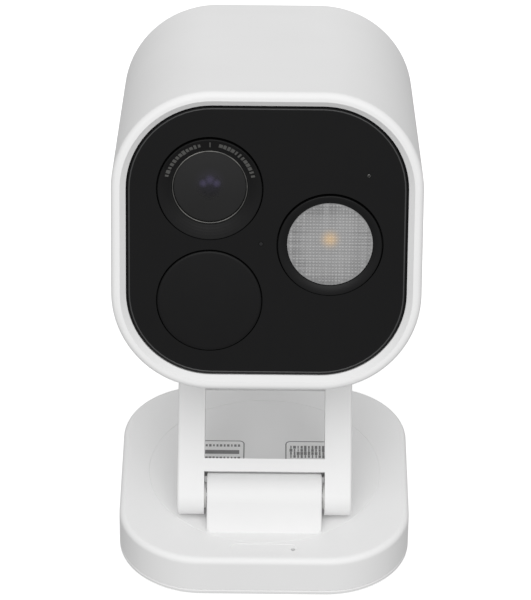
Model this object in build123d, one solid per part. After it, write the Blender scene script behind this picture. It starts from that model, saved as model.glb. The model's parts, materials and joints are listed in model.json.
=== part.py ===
from build123d import *
from math import cos, radians, sin
import os

# A spotlight security camera: a rounded-square tube on a two-armed link and a swivelling base.
# Millimetres, +Z up. The origin is the middle of the base's underside, and the front faces -Y.
# Head pieces are drawn in the head's frame: X across, Y back from the rim, Z up from its middle.
# Link pieces are drawn upright, with the lower pin along X through the origin.

# Fits
RUN_GAP = 0.05            # radial, between a pin or hub and the bore that it turns in
PRESS_GAP = 0.01          # radial, between a pin and the arms that hold it
SLIP_GAP = 0.1            # between fixed pieces that slide together
SCREW_GAP = 0.05          # radial, round a screw's shank

# Base
BASE_SIZE = 79.0
BASE_CORNER = 22.8
BASE_HEIGHT = 12.2
BASE_EDGE_ROUND = 1.6
BASE_WALL = 2.2
BASE_TOP = 2.4
PLATE_LIFT = 0.3          # the pad stands this far below the mounting plate
PLATE_THICKNESS = 1.4
PLATE_EDGE_BEVEL = 0.5
SEAM_BEVEL = 0.25
PLATE_RIM_HEIGHT = 2.4
PLATE_RIM_WALL = 1.6
PLATE_FLOOR = 0.8         # the plate is this much thicker inside its rim
PAD_INSET = 2.6
PAD_RECESS = 0.6
PAD_HOLE_MARGIN = 1.0
WALL_HOLE_SPACING = 50.0
WALL_HOLE_R = 2.2
WALL_BOSS_R = 4.6
WALL_BOSS_HEIGHT = 1.5
HOOK_WIDTH = 30.0
HOOK_REACH = 0.5
HOOK_HEIGHT = 0.6

# Release mark and latch, on the base's front edge
MARK_LENGTH = 18.4
MARK_WIDTH = 4.2
MARK_DEPTH = 0.18
MARK_FROM_EDGE = 5.0      # from the base's front to the middle of the mark
PINHOLE_R = 0.6
PINHOLE_X = 7.9
LATCH_WIDTH = 10.0
LATCH_LEAF = 1.0
CATCH_Z = 5.0
CATCH_HEIGHT = 1.2
CATCH_REACH = 1.5

# Turntable
DISC_R = 31.9
DISC_GAP = 0.08           # radial, the fine line round the disc
DISC_EDGE_BEVEL = 0.12
DISC_THICKNESS = 3.2
DISC_FLOAT = 0.4          # between the disc and the well's floor
WELL_FLOOR = 1.8
WELL_WALL = 1.6
HUB_R = 14.0
RETAINER_R = 19.0
RETAINER_THICKNESS = 1.8
WASHER_THICKNESS = 0.3
STOP_REACH = 2.6
STOP_HALF_ANGLE = 4.0
HUB_SCREWS = 3
HUB_SCREW_R = 1.0
HUB_SCREW_CIRCLE = 9.0

# Hinges and link
PIN_R = 2.0
BASE_KNUCKLE_R = 6.4
HEAD_KNUCKLE_R = 5.15
KNUCKLE_WIDTH = 31.1
KNUCKLE_EDGE_ROUND = 0.5
KNUCKLE_SET_IN = 0.5      # the knuckle's foot stays this far inside the disc's edge
RAMP_STEEPNESS = 71.0     # degrees, of the knuckle's front face
HINGE_FORWARD = 19.0      # the lower pin lies this far in front of the middle
ARM_R = 5.15
ARM_LIFT = 0.8            # between the arms' lower ends and the base
LINK_LENGTH = 39.0        # pin to pin
LINK_WIDTH = 47.2
LINK_SLOT = 32.6
LINK_EDGE_ROUND = 0.8
BAR_GAP = 0.7             # from the arms' radius to a crossbar
BAR_HEIGHT = 3.5
BAR_RELIEF = 0.3          # between the lower crossbar's hollow and the knuckle
LINK_LEAN = 46.0          # degrees back from upright
CAP_R = 3.4
CAP_DEPTH = 0.9
HINGE_WASHER_R = 3.6
HINGE_WASHER_THICKNESS = 0.55

# Head tube
HEAD_SIZE = 80.0
HEAD_CORNER = 26.0
HEAD_LENGTH = 93.5
HEAD_WALL = 2.4
HEAD_TILT = 16.7          # degrees, front up
ARM_TO_HEAD = 2.65        # between the arms' upper ends and the tube's underside
RIM_FORWARD = 50.8        # from the upper pin to the rim's plane
RIM_ROUND = 1.6
RIM_SLOPE = 1.5
REAR_ROUND = 2.0
PANEL_MARGIN = 3.9        # from the tube's side to the panel's edge
PANEL_THICKNESS = 2.5
PANEL_BEVEL = 0.5
GASKET_THICKNESS = 1.0
GASKET_WIDTH = 2.0
CHASSIS_THICKNESS = 2.4
LEDGE_WIDTH = 2.0
LEDGE_THICKNESS = 2.0

# Openings in the panel, measured in from the panel's sides to each window's edge
WINDOW_R = 13.75
FLANGE_R = 14.4
FLANGE_THICKNESS = 0.9
LENS_FROM_SIDE = 7.65
LENS_FROM_TOP = 8.2
PIR_FROM_BOTTOM = 6.45
SPOT_FROM_SIDE = 6.15
SPOT_DROP = 0.6
MIC_FROM_SIDE = 10.2
MIC_FROM_TOP = 18.15
MIC_HOLE_R = 0.5
LIGHT_PIPE_R = 0.5
LIGHT_PIPE_X = -1.5
LIGHT_PIPE_Z = -0.5

# Lens
HOOD_DEPTH = 1.5
TRIM_RING_R = 9.75
TRIM_RING_WALL = 0.85
TRIM_RING_LENGTH = 1.9
COVER_GLASS_THICKNESS = 1.2
BARREL_R = 7.6
BARREL_THREAD_R = 5.5
BARREL_FRONT_LENGTH = 6.6
BARREL_LENGTH = 12.3
ELEMENT_R = 3.6
HOLDER_WALL = 1.1
HOLDER_SIZE = 17.0
HOLDER_BASE = 2.0
SENSOR_WIDTH = 8.0
SENSOR_HEIGHT = 6.0
SENSOR_THICKNESS = 0.8
SENSOR_BOARD_SIZE = 24.0
BOARD_THICKNESS = 1.2
POST_R = 1.8

# Motion sensor
PIR_SHELL = 1.2
PIR_DOME = 0.4
PIR_CAN_R = 4.2
PIR_CAN_LENGTH = 4.2
PIR_BOARD_INSET = 3.75    # from the window's edge to the board's
PIR_DEPTH = 6.0           # from the chassis to the sensor's board

# Spotlight
SPOT_LENS_R = 11.0
SPOT_LENS_THICKNESS = 1.6
SPOT_SETBACK = 1.6        # from the panel's face to the lens
REFLECTOR_LENGTH = 7.6
REFLECTOR_THROAT_R = 3.2
REFLECTOR_WALL = 0.8
LED_SIZE = 3.5
LED_HEIGHT = 0.7
LED_BOARD_WIDTH = 18.0
LED_BOARD_HEIGHT = 29.0
SINK_BASE = 2.0
FIN_LENGTH = 10.0
FIN_THICKNESS = 1.4
FIN_COUNT = 5

# Rear cover and what it carries
COVER_INSET = 1.0
COVER_THICKNESS = 2.4
COVER_SCREW_Z = 14.0
COVER_SCREW_R = 1.2
COVER_BOSS_R = 3.2
COVER_BOSS_LENGTH = 10.0
GRILLE_RINGS = 3
GRILLE_PITCH = 3.0
GRILLE_HOLE_R = 0.7
SPEAKER_R = 13.0
SPEAKER_MAGNET_R = 8.0
SPEAKER_FRAME = 2.0
SPEAKER_DEPTH = 7.0
SPEAKER_Z = 12.0
SOCKET_R = 4.2
SOCKET_BORE_R = 2.8
SOCKET_PIN_R = 0.8
SOCKET_FLANGE_R = 6.0
SOCKET_FLANGE = 2.0
SOCKET_LENGTH = 12.0
SOCKET_X = 15.0
SOCKET_Z = -16.0
BUTTON_R = 3.5
BUTTON_PROUD = 0.6
BUTTON_FLANGE_R = 4.3
BUTTON_FLANGE = 1.0
BUTTON_TRAVEL = 0.8
BUTTON_X = -15.0
SWITCH_SIZE = 6.0
SWITCH_DEPTH = 3.6
PLUNGER_R = 1.5
PLUNGER_LENGTH = 0.5
CARD_WIDTH = 11.4
CARD_HEIGHT = 1.2
CARD_SOCKET_WIDTH = 14.0
CARD_SOCKET_DEPTH = 15.0
CARD_SOCKET_HEIGHT = 2.0
PLUG_LIP = 1.4
PLUG_LIP_THICKNESS = 0.7

# Electronics tray
RAIL_WIDTH = 6.0
RAIL_HEIGHT = 2.0
RAIL_FROM_SIDE = 14.4     # from the cavity's side to the rail's outer face
RAIL_FROM_BOTTOM = 9.6    # from the cavity's floor to the rail's underside
MAIN_BOARD_THICKNESS = 1.6
MAIN_BOARD_LENGTH = 52.0
MAIN_BOARD_FROM_COVER = 2.8
SHIELD_WIDTH = 24.0
SHIELD_DEPTH = 20.0
SHIELD_HEIGHT = 3.0
ANTENNA_LENGTH = 26.0
ANTENNA_WIDTH = 6.0
ANTENNA_THICKNESS = 0.6
ANTENNA_BACK = 40.0
MIC_R = 2.0
MIC_LENGTH = 3.0

# Screws
SMALL_SCREW_R = 0.9
SMALL_SCREW_LENGTH = 4.0
CHASSIS_SCREW_INSET = 8.8    # from the panel's sides to the chassis screws
CHASSIS_SCREW_R = 1.0
CHASSIS_SCREW_LENGTH = 5.0
CHASSIS_BOSS_R = 2.8
CHASSIS_BOSS_LENGTH = 4.0
KNUCKLE_SCREW_X = 10.0
KNUCKLE_SCREW_R = 1.2
KNUCKLE_SCREW_LENGTH = 6.0
HEAD_PER_SHANK = 1.9         # a screw head's radius over its shank's
HEAD_DEPTH_PER_SHANK = 1.1
DRIVE_PER_SHANK = 0.9        # a hexagon drive's radius over the shank's

# Places worked out from the sizes above
PARTING_Z = PLATE_LIFT + PLATE_THICKNESS
DISC_BOTTOM_Z = BASE_HEIGHT - DISC_THICKNESS
FLOOR_TOP_Z = DISC_BOTTOM_Z - DISC_FLOAT
FLOOR_BOTTOM_Z = FLOOR_TOP_Z - WELL_FLOOR
RETAINER_TOP_Z = FLOOR_BOTTOM_Z - DISC_FLOAT
RETAINER_BOTTOM_Z = RETAINER_TOP_Z - RETAINER_THICKNESS
WELL_R = DISC_R + DISC_GAP
BASE_INSIDE = BASE_SIZE - 2 * BASE_WALL
BASE_INSIDE_CORNER = BASE_CORNER - BASE_WALL
MARK_Y = MARK_FROM_EDGE - BASE_SIZE / 2
LOWER_Y = -HINGE_FORWARD
LOWER_Z = BASE_HEIGHT + ARM_LIFT + ARM_R
UPPER_Y = LOWER_Y + LINK_LENGTH * sin(radians(LINK_LEAN))
UPPER_Z = LOWER_Z + LINK_LENGTH * cos(radians(LINK_LEAN))
BAR_START = ARM_R + BAR_GAP
HEAD_STANDOFF = ARM_R + ARM_TO_HEAD
PANEL_SIZE = HEAD_SIZE - 2 * PANEL_MARGIN
PANEL_CORNER = HEAD_CORNER - PANEL_MARGIN
PANEL_FRONT = RIM_SLOPE
PANEL_BACK = PANEL_FRONT + PANEL_THICKNESS
CHASSIS_FRONT = PANEL_BACK + GASKET_THICKNESS
CHASSIS_BACK = CHASSIS_FRONT + CHASSIS_THICKNESS
CAVITY_SIZE = HEAD_SIZE - 2 * HEAD_WALL
CAVITY_CORNER = HEAD_CORNER - HEAD_WALL
COVER_BACK = HEAD_LENGTH - COVER_INSET
COVER_FRONT = COVER_BACK - COVER_THICKNESS
SEAT_BACK = COVER_FRONT - GASKET_THICKNESS
LENS_X = WINDOW_R + LENS_FROM_SIDE - PANEL_SIZE / 2
LENS_Z = PANEL_SIZE / 2 - WINDOW_R - LENS_FROM_TOP
PIR_X = LENS_X
PIR_Z = WINDOW_R + PIR_FROM_BOTTOM - PANEL_SIZE / 2
SPOT_X = PANEL_SIZE / 2 - WINDOW_R - SPOT_FROM_SIDE
SPOT_Z = -SPOT_DROP
MIC_X = PANEL_SIZE / 2 - MIC_FROM_SIDE
MIC_Z = PANEL_SIZE / 2 - MIC_FROM_TOP
WINDOW_FIT_R = WINDOW_R - SLIP_GAP
FLANGE_FRONT = CHASSIS_FRONT - FLANGE_THICKNESS
RING_FRONT = PANEL_FRONT + HOOD_DEPTH
GLASS_R = TRIM_RING_R - TRIM_RING_WALL - SLIP_GAP
GLASS_FRONT = RING_FRONT + (TRIM_RING_LENGTH - COVER_GLASS_THICKNESS) / 2
BARREL_FRONT = RING_FRONT + TRIM_RING_LENGTH + SLIP_GAP
HOLDER_FRONT = BARREL_FRONT + BARREL_FRONT_LENGTH + SLIP_GAP
SENSOR_BOARD_FRONT = BARREL_FRONT + BARREL_LENGTH + HOLDER_BASE + SLIP_GAP
PIR_BOARD_FRONT = CHASSIS_BACK + PIR_DEPTH
PIR_BOARD_SIZE = 2 * (WINDOW_R - PIR_BOARD_INSET)
SPOT_LENS_FRONT = PANEL_FRONT + SPOT_SETBACK
REFLECTOR_FRONT = SPOT_LENS_FRONT + SPOT_LENS_THICKNESS
LED_BOARD_FRONT = REFLECTOR_FRONT + REFLECTOR_LENGTH + LED_HEIGHT
SINK_FRONT = LED_BOARD_FRONT + BOARD_THICKNESS
CHASSIS_SCREW_AT = PANEL_SIZE / 2 - CHASSIS_SCREW_INSET
RAIL_X = CAVITY_SIZE / 2 - RAIL_FROM_SIDE
RAIL_TOP = RAIL_FROM_BOTTOM + RAIL_HEIGHT - CAVITY_SIZE / 2
BOARD_TOP = RAIL_TOP + MAIN_BOARD_THICKNESS
BOARD_REAR = COVER_FRONT - MAIN_BOARD_FROM_COVER
BUTTON_Z = BOARD_TOP + SWITCH_SIZE / 2
CARD_Z = BOARD_TOP + CARD_SOCKET_HEIGHT / 2
COVER_SCREW_X = CAVITY_SIZE / 2 - COVER_BOSS_R + SLIP_GAP * 2

LINK_FRAME = Location((0, LOWER_Y, LOWER_Z), (-LINK_LEAN, 0, 0))
HEAD_AXIS_FRAME = Location((0, UPPER_Y, UPPER_Z), (-HEAD_TILT, 0, 0))
HEAD_FRAME = HEAD_AXIS_FRAME * Pos(0, -RIM_FORWARD, HEAD_STANDOFF + HEAD_SIZE / 2)


# ---- drawing helpers ----

def square(size, corner):
    return RectangleRounded(size, size, corner)


def up(sketch, z0, z1):
    """Extrude a sketch drawn in X and Y from z0 up to z1."""
    return Pos(0, 0, z0) * extrude(sketch, z1 - z0)


def back(sketch, y0, y1):
    """Extrude a sketch drawn in X and Z from y0 back to y1."""
    return Pos(0, y1, 0) * Rot(X=90) * extrude(sketch, y1 - y0)


def across(sketch, x0, x1):
    """Extrude a sketch drawn in Y and Z from x0 across to x1."""
    return Pos(x0, 0, 0) * extrude(Plane.YZ * sketch, x1 - x0)


def block(x0, x1, y0, y1, z0, z1):
    middle = Pos((x0 + x1) / 2, (y0 + y1) / 2, (z0 + z1) / 2)
    return middle * Box(x1 - x0, y1 - y0, z1 - z0)


def rod(radius, x, z, y0, y1):
    """A round bar along Y."""
    return back(Pos(x, z) * Circle(radius), y0, y1)


def turned(outline, x=0.0, z=0.0):
    """Turn a closed outline of (radius, y) points about a line along Y."""
    return Pos(x, 0, z) * revolve(make_face(Polyline(*outline, close=True)), Axis.Y)


def crowned(radius, y0, y1, crown):
    """A disc along Y whose front face, at y0, bulges forwards by crown in the middle."""
    front = ThreePointArc((radius, y0), (0, y0 - crown), (-radius, y0))
    outline = make_face(front + Polyline((-radius, y0), (-radius, y1), (radius, y1), (radius, y0)))
    half = outline & (Pos(radius, y0) * Rectangle(2 * radius, 2 * (y1 - y0 + crown)))
    return revolve(half, Axis.Y)


def ring(radius, bore, z0, z1):
    return up(Circle(radius) - Circle(bore), z0, z1)


def corners(dx, dz):
    return [(dx, dz), (-dx, dz), (-dx, -dz), (dx, -dz)]


def screw(shank_r, length):
    """A screw with its head's seat at the origin, its head up and its shank down."""
    head_r = shank_r * HEAD_PER_SHANK
    head_depth = shank_r * HEAD_DEPTH_PER_SHANK
    drive = RegularPolygon(shank_r * DRIVE_PER_SHANK, 6)
    head = up(Circle(head_r), 0, head_depth) - up(drive, head_depth / 2, head_depth)
    return head + up(Circle(shank_r), -length, 0)


def screws(shank_r, length, places):
    """One group of separate screws; each place is a Location that turns and moves the screw."""
    return Compound([place * screw(shank_r, length) for place in places])


def facing_back(x, y, z):
    """A screw's place with its head towards the rear."""
    return Location((x, y, z), (-90, 0, 0))


def facing_front(x, y, z):
    """A screw's place with its head towards the front."""
    return Location((x, y, z), (90, 0, 0))


# ---- base ----

def base_cover():
    """The square shell with the round well that the turntable sits in."""
    body = up(square(BASE_SIZE, BASE_CORNER), PARTING_Z, BASE_HEIGHT)
    body = fillet(body.edges().group_by(Axis.Z)[-1], BASE_EDGE_ROUND)
    body = chamfer(body.edges().group_by(Axis.Z)[0], SEAM_BEVEL)
    body -= up(square(BASE_INSIDE, BASE_INSIDE_CORNER), PARTING_Z, BASE_HEIGHT - BASE_TOP)
    body += up(Circle(WELL_R + WELL_WALL), FLOOR_BOTTOM_Z, BASE_HEIGHT - BASE_TOP / 2)
    body -= up(Circle(WELL_R), FLOOR_TOP_Z, BASE_HEIGHT)
    body -= up(Circle(HUB_R), FLOOR_BOTTOM_Z, FLOOR_TOP_Z)
    mark = Pos(0, MARK_Y) * SlotOverall(MARK_LENGTH, MARK_WIDTH)
    body -= up(mark, BASE_HEIGHT - MARK_DEPTH, BASE_HEIGHT)
    body -= up(Pos(PINHOLE_X, MARK_Y) * Circle(PINHOLE_R), BASE_HEIGHT - BASE_TOP, BASE_HEIGHT)
    wall_y = -BASE_INSIDE / 2
    body += block(-LATCH_WIDTH / 2, LATCH_WIDTH / 2, wall_y - SLIP_GAP, wall_y + CATCH_REACH,
                  CATCH_Z, CATCH_Z + CATCH_HEIGHT)
    groove = HOOK_WIDTH / 2 + SLIP_GAP
    hook_z = PARTING_Z + PLATE_RIM_HEIGHT / 2
    body -= block(-groove, groove, -wall_y - SLIP_GAP, -wall_y + HOOK_REACH,
                  hook_z - SLIP_GAP, hook_z + HOOK_HEIGHT + SLIP_GAP)
    return body + swivel_stop(0, FLOOR_BOTTOM_Z - RETAINER_THICKNESS, FLOOR_BOTTOM_Z)


def swivel_stop(turn, z0, z1):
    """A block outside the retainer's edge, on the side given by turn in degrees."""
    width = 2 * RETAINER_R * sin(radians(STOP_HALF_ANGLE))
    start = RETAINER_R - RUN_GAP if turn else RETAINER_R + RUN_GAP * 4
    return Rot(Z=turn) * block(-width / 2, width / 2, start, RETAINER_R + STOP_REACH, z0, z1)


def mounting_plate():
    """The plate that is screwed to the wall, and that the cover snaps on to."""
    plate = up(square(BASE_SIZE, BASE_CORNER), PLATE_LIFT, PARTING_Z)
    plate = chamfer(plate.edges().group_by(Axis.Z)[0], PLATE_EDGE_BEVEL)
    plate = chamfer(plate.edges().group_by(Axis.Z)[-1], SEAM_BEVEL)
    outside = BASE_INSIDE - 2 * SLIP_GAP
    corner = BASE_INSIDE_CORNER - SLIP_GAP
    rim = square(outside, corner) - square(outside - 2 * PLATE_RIM_WALL, corner - PLATE_RIM_WALL)
    plate += up(rim, PARTING_Z, PARTING_Z + PLATE_RIM_HEIGHT)
    plate += up(square(outside, corner), PARTING_Z, PARTING_Z + PLATE_FLOOR)
    hook_z = PARTING_Z + PLATE_RIM_HEIGHT / 2
    plate += block(-HOOK_WIDTH / 2, HOOK_WIDTH / 2, outside / 2 - PLATE_RIM_WALL,
                   outside / 2 + HOOK_REACH, hook_z, hook_z + HOOK_HEIGHT)
    for x, y in corners(WALL_HOLE_SPACING / 2, WALL_HOLE_SPACING / 2):
        plate += up(Pos(x, y) * Circle(WALL_BOSS_R), PARTING_Z, PARTING_Z + WALL_BOSS_HEIGHT)
    for x, y in corners(WALL_HOLE_SPACING / 2, WALL_HOLE_SPACING / 2):
        plate -= up(Pos(x, y) * Circle(WALL_HOLE_R), PLATE_LIFT, PARTING_Z + WALL_BOSS_HEIGHT)
    recess = square(BASE_SIZE - 2 * PAD_INSET, BASE_CORNER - PAD_INSET)
    return plate - up(recess, PLATE_LIFT, PLATE_LIFT + PAD_RECESS)


def foot_pad():
    """A soft sheet in the plate's recess, which stands on the wall or table."""
    outline = square(BASE_SIZE - 2 * PAD_INSET, BASE_CORNER - PAD_INSET)
    for x, y in corners(WALL_HOLE_SPACING / 2, WALL_HOLE_SPACING / 2):
        outline -= Pos(x, y) * Circle(WALL_HOLE_R + PAD_HOLE_MARGIN)
    return up(outline, 0, PLATE_LIFT + PAD_RECESS)


def release_latch():
    """A leaf on the plate that hooks over the cover's catch and is pushed through the pinhole."""
    wall_y = -BASE_INSIDE / 2
    leaf_y = wall_y + PLATE_RIM_WALL + 2 * SLIP_GAP
    nose_z = CATCH_Z + CATCH_HEIGHT + SLIP_GAP
    side = LATCH_WIDTH / 2
    leaf = block(-side, side, leaf_y, leaf_y + LATCH_LEAF,
                 PARTING_Z + PLATE_FLOOR, nose_z + LATCH_LEAF)
    nose = block(-side, side, wall_y + SLIP_GAP * 5, leaf_y + LATCH_LEAF, nose_z, nose_z + LATCH_LEAF)
    tab = block(side - LATCH_LEAF, PINHOLE_X + 2 * PINHOLE_R, leaf_y, leaf_y + LATCH_LEAF,
                nose_z, nose_z + LATCH_LEAF)
    return leaf + nose + tab


# ---- turntable ----

def hub_screw_places():
    angles = [360 / HUB_SCREWS * turn for turn in range(HUB_SCREWS)]
    return [(HUB_SCREW_CIRCLE * cos(radians(a)), HUB_SCREW_CIRCLE * sin(radians(a))) for a in angles]


def knuckle_outline():
    """The lower knuckle's side view: a barrel on a foot with a steep front."""
    lean = radians(90 - RAMP_STEEPNESS)
    touch_y = LOWER_Y - BASE_KNUCKLE_R * cos(lean)
    touch_z = LOWER_Z + BASE_KNUCKLE_R * sin(lean)
    foot_z = BASE_HEIGHT - DISC_THICKNESS / 2
    foot_y = touch_y - (touch_z - foot_z) * sin(lean) / cos(lean)
    rear_y = LOWER_Y + BASE_KNUCKLE_R
    foot = make_face(Polyline((LOWER_Y, LOWER_Z), (touch_y, touch_z), (foot_y, foot_z),
                              (rear_y, foot_z), (rear_y, LOWER_Z), close=True))
    return foot + Pos(LOWER_Y, LOWER_Z) * Circle(BASE_KNUCKLE_R)


def turntable():
    """The disc that swivels in the base, with its hub and the lower knuckle."""
    disc = up(Circle(DISC_R), DISC_BOTTOM_Z, BASE_HEIGHT)
    disc = chamfer(disc.edges().group_by(Axis.Z)[-1], DISC_EDGE_BEVEL)
    knuckle = across(knuckle_outline(), -KNUCKLE_WIDTH / 2, KNUCKLE_WIDTH / 2)
    ends = knuckle.faces().filter_by(Axis.X)
    knuckle = fillet([edge for face in ends for edge in face.edges()
                      if edge.center().Z > BASE_HEIGHT], KNUCKLE_EDGE_ROUND)
    knuckle &= up(Circle(DISC_R - KNUCKLE_SET_IN), DISC_BOTTOM_Z, LOWER_Z + 2 * BASE_KNUCKLE_R)
    body = disc + knuckle + up(Circle(HUB_R - RUN_GAP), RETAINER_TOP_Z, DISC_BOTTOM_Z)
    body -= across(Pos(LOWER_Y, LOWER_Z) * Circle(PIN_R + RUN_GAP), -LINK_WIDTH, LINK_WIDTH)
    for x, y in hub_screw_places():
        hole = Pos(x, y) * Circle(HUB_SCREW_R + SCREW_GAP)
        body -= up(hole, RETAINER_TOP_Z, DISC_BOTTOM_Z + DISC_THICKNESS / 2)
    return body


def swivel_washer():
    """A slippery ring on the well's floor, under the disc."""
    return ring(DISC_R - WELL_WALL, HUB_R + WELL_WALL, FLOOR_TOP_Z, FLOOR_TOP_Z + WASHER_THICKNESS)


def turntable_retainer():
    """The plate under the well's floor that holds the hub in, with the swivel's stop tab."""
    plate = ring(RETAINER_R, PIN_R, RETAINER_BOTTOM_Z, RETAINER_TOP_Z)
    for x, y in hub_screw_places():
        hole = Pos(x, y) * Circle(HUB_SCREW_R + SCREW_GAP)
        plate -= up(hole, RETAINER_BOTTOM_Z, RETAINER_TOP_Z)
    return plate + swivel_stop(180, RETAINER_BOTTOM_Z, RETAINER_TOP_Z)


def friction_washer():
    """A sprung ring between the retainer and the well's floor."""
    top = RETAINER_TOP_Z + WASHER_THICKNESS
    return ring(RETAINER_R - WELL_WALL, HUB_R + WELL_WALL, RETAINER_TOP_Z, top)


def retainer_screws():
    length = RETAINER_THICKNESS + SMALL_SCREW_LENGTH
    places = [Location((x, y, RETAINER_BOTTOM_Z), (180, 0, 0)) for x, y in hub_screw_places()]
    return screws(HUB_SCREW_R, length, places)


# ---- link ----

def link_frame():
    """Two arms joined by a crossbar near each pin, with an open window between the bars."""
    strap = Circle(ARM_R) + Pos(0, LINK_LENGTH) * Circle(ARM_R)
    strap += Pos(0, LINK_LENGTH / 2) * Rectangle(2 * ARM_R, LINK_LENGTH)
    body = across(strap, -LINK_WIDTH / 2, LINK_WIDTH / 2)
    ends = body.faces().filter_by(Axis.X)
    body = fillet([edge for face in ends for edge in face.edges()], LINK_EDGE_ROUND)
    side, deep = LINK_SLOT / 2, 2 * ARM_R
    for low, high in [(-deep, BAR_START),
                      (BAR_START + BAR_HEIGHT, LINK_LENGTH - BAR_START - BAR_HEIGHT),
                      (LINK_LENGTH - BAR_START, LINK_LENGTH + deep)]:
        body -= block(-side, side, -deep, deep, low, high)
    body -= across(Circle(BASE_KNUCKLE_R + BAR_RELIEF), -side, side)
    for pin_z in (0, LINK_LENGTH):
        body -= across(Pos(0, pin_z) * Circle(PIN_R + PRESS_GAP), -LINK_WIDTH, LINK_WIDTH)
        for side_x in (-LINK_WIDTH / 2, LINK_WIDTH / 2 - CAP_DEPTH):
            seat = Pos(0, pin_z) * Circle(CAP_R + SLIP_GAP)
            body -= across(seat, side_x, side_x + CAP_DEPTH)
    return LINK_FRAME * body


def hinge_pin(pin_z):
    length = LINK_WIDTH / 2 - CAP_DEPTH
    return LINK_FRAME * across(Pos(0, pin_z) * Circle(PIN_R), -length, length)


def pin_caps(pin_z):
    """The two round plugs that hide a pin's ends."""
    outer = LINK_WIDTH / 2
    cap = across(Pos(0, pin_z) * Circle(CAP_R), outer - CAP_DEPTH, outer)
    return Compound([LINK_FRAME * cap, LINK_FRAME * (Rot(Z=180) * cap)])


def hinge_washers(pin_z):
    """The two friction rings between a knuckle and the arms."""
    outer = LINK_SLOT / 2
    outline = Pos(0, pin_z) * (Circle(HINGE_WASHER_R) - Circle(PIN_R + PRESS_GAP))
    washer = across(outline, outer - HINGE_WASHER_THICKNESS, outer)
    return Compound([LINK_FRAME * washer, LINK_FRAME * (Rot(Z=180) * washer)])


# ---- head: tube, panel, tray and knuckle ----

def housing_shell():
    """The tube: a rounded rim with a slope in to the panel, a front ledge and a rear seat."""
    body = back(square(HEAD_SIZE, HEAD_CORNER), 0, HEAD_LENGTH)
    body = fillet(body.edges().group_by(Axis.Y)[0], RIM_ROUND)
    body = fillet(body.edges().group_by(Axis.Y)[-1], REAR_ROUND)
    opening = PANEL_SIZE + 2 * SLIP_GAP
    opening_corner = PANEL_CORNER + SLIP_GAP
    slope = Rot(X=90) * extrude(square(opening, opening_corner), RIM_SLOPE, taper=-45)
    body -= Pos(0, RIM_SLOPE, 0) * slope
    body -= back(square(opening, opening_corner), RIM_SLOPE, CHASSIS_BACK)
    ledge = PANEL_SIZE - 2 * LEDGE_WIDTH
    body -= back(square(ledge, PANEL_CORNER - LEDGE_WIDTH), CHASSIS_BACK, CHASSIS_BACK + LEDGE_THICKNESS)
    body -= back(square(CAVITY_SIZE, CAVITY_CORNER), CHASSIS_BACK + LEDGE_THICKNESS,
                 SEAT_BACK - LEDGE_THICKNESS)
    seat = CAVITY_SIZE - 2 * LEDGE_WIDTH
    body -= back(square(seat, CAVITY_CORNER - LEDGE_WIDTH), SEAT_BACK - LEDGE_THICKNESS, SEAT_BACK)
    body -= back(square(CAVITY_SIZE, CAVITY_CORNER), SEAT_BACK, HEAD_LENGTH)
    boss_end = CHASSIS_BACK + CHASSIS_BOSS_LENGTH
    for x, z in corners(CHASSIS_SCREW_AT, CHASSIS_SCREW_AT):
        body += rod(CHASSIS_BOSS_R, x, z, CHASSIS_BACK, boss_end)
    for x, z in corners(CHASSIS_SCREW_AT, CHASSIS_SCREW_AT):
        body -= rod(CHASSIS_SCREW_R + SCREW_GAP, x, z, CHASSIS_BACK, boss_end)
    for x, z in corners(COVER_SCREW_X, COVER_SCREW_Z):
        body += rod(COVER_BOSS_R, x, z, SEAT_BACK - COVER_BOSS_LENGTH, SEAT_BACK)
    for x, z in corners(COVER_SCREW_X, COVER_SCREW_Z):
        body -= rod(COVER_SCREW_R + SCREW_GAP, x, z, SEAT_BACK - COVER_BOSS_LENGTH, SEAT_BACK)
    for x, y in knuckle_screw_places():
        hole = Pos(x, y) * Circle(KNUCKLE_SCREW_R + SCREW_GAP)
        body -= up(hole, -HEAD_SIZE / 2, HEAD_WALL - HEAD_SIZE / 2)
    return HEAD_FRAME * body


def front_panel():
    """The dark panel with its three windows, the microphone hole and the status light."""
    body = back(square(PANEL_SIZE, PANEL_CORNER), PANEL_FRONT, PANEL_BACK)
    body = chamfer(body.edges().group_by(Axis.Y)[0], PANEL_BEVEL)
    for x, z in ((LENS_X, LENS_Z), (PIR_X, PIR_Z), (SPOT_X, SPOT_Z)):
        body -= rod(WINDOW_R, x, z, PANEL_FRONT, PANEL_BACK)
    body -= rod(MIC_HOLE_R, MIC_X, MIC_Z, PANEL_FRONT, PANEL_BACK)
    body -= rod(LIGHT_PIPE_R + SLIP_GAP, LIGHT_PIPE_X, LIGHT_PIPE_Z, PANEL_FRONT, PANEL_BACK)
    return HEAD_FRAME * body


def front_gasket():
    inside = PANEL_SIZE - 2 * GASKET_WIDTH
    outline = square(PANEL_SIZE, PANEL_CORNER) - square(inside, PANEL_CORNER - GASKET_WIDTH)
    return HEAD_FRAME * back(outline, PANEL_BACK, CHASSIS_FRONT)


def sensor_posts():
    """X, Z, radius and rear end of each chassis post."""
    sensor = SENSOR_BOARD_SIZE / 2 - POST_R
    motion = PIR_BOARD_SIZE / 2 - POST_R
    lamp = LED_BOARD_HEIGHT / 2 - POST_R
    posts = [(LENS_X + x, LENS_Z + z, SENSOR_BOARD_FRONT) for x, z in ((sensor, sensor), (-sensor, -sensor))]
    posts += [(PIR_X + x, PIR_Z + z, PIR_BOARD_FRONT) for x, z in ((motion, -motion), (-motion, motion))]
    posts += [(SPOT_X, SPOT_Z + z, LED_BOARD_FRONT) for z in (lamp, -lamp)]
    return posts


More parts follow.
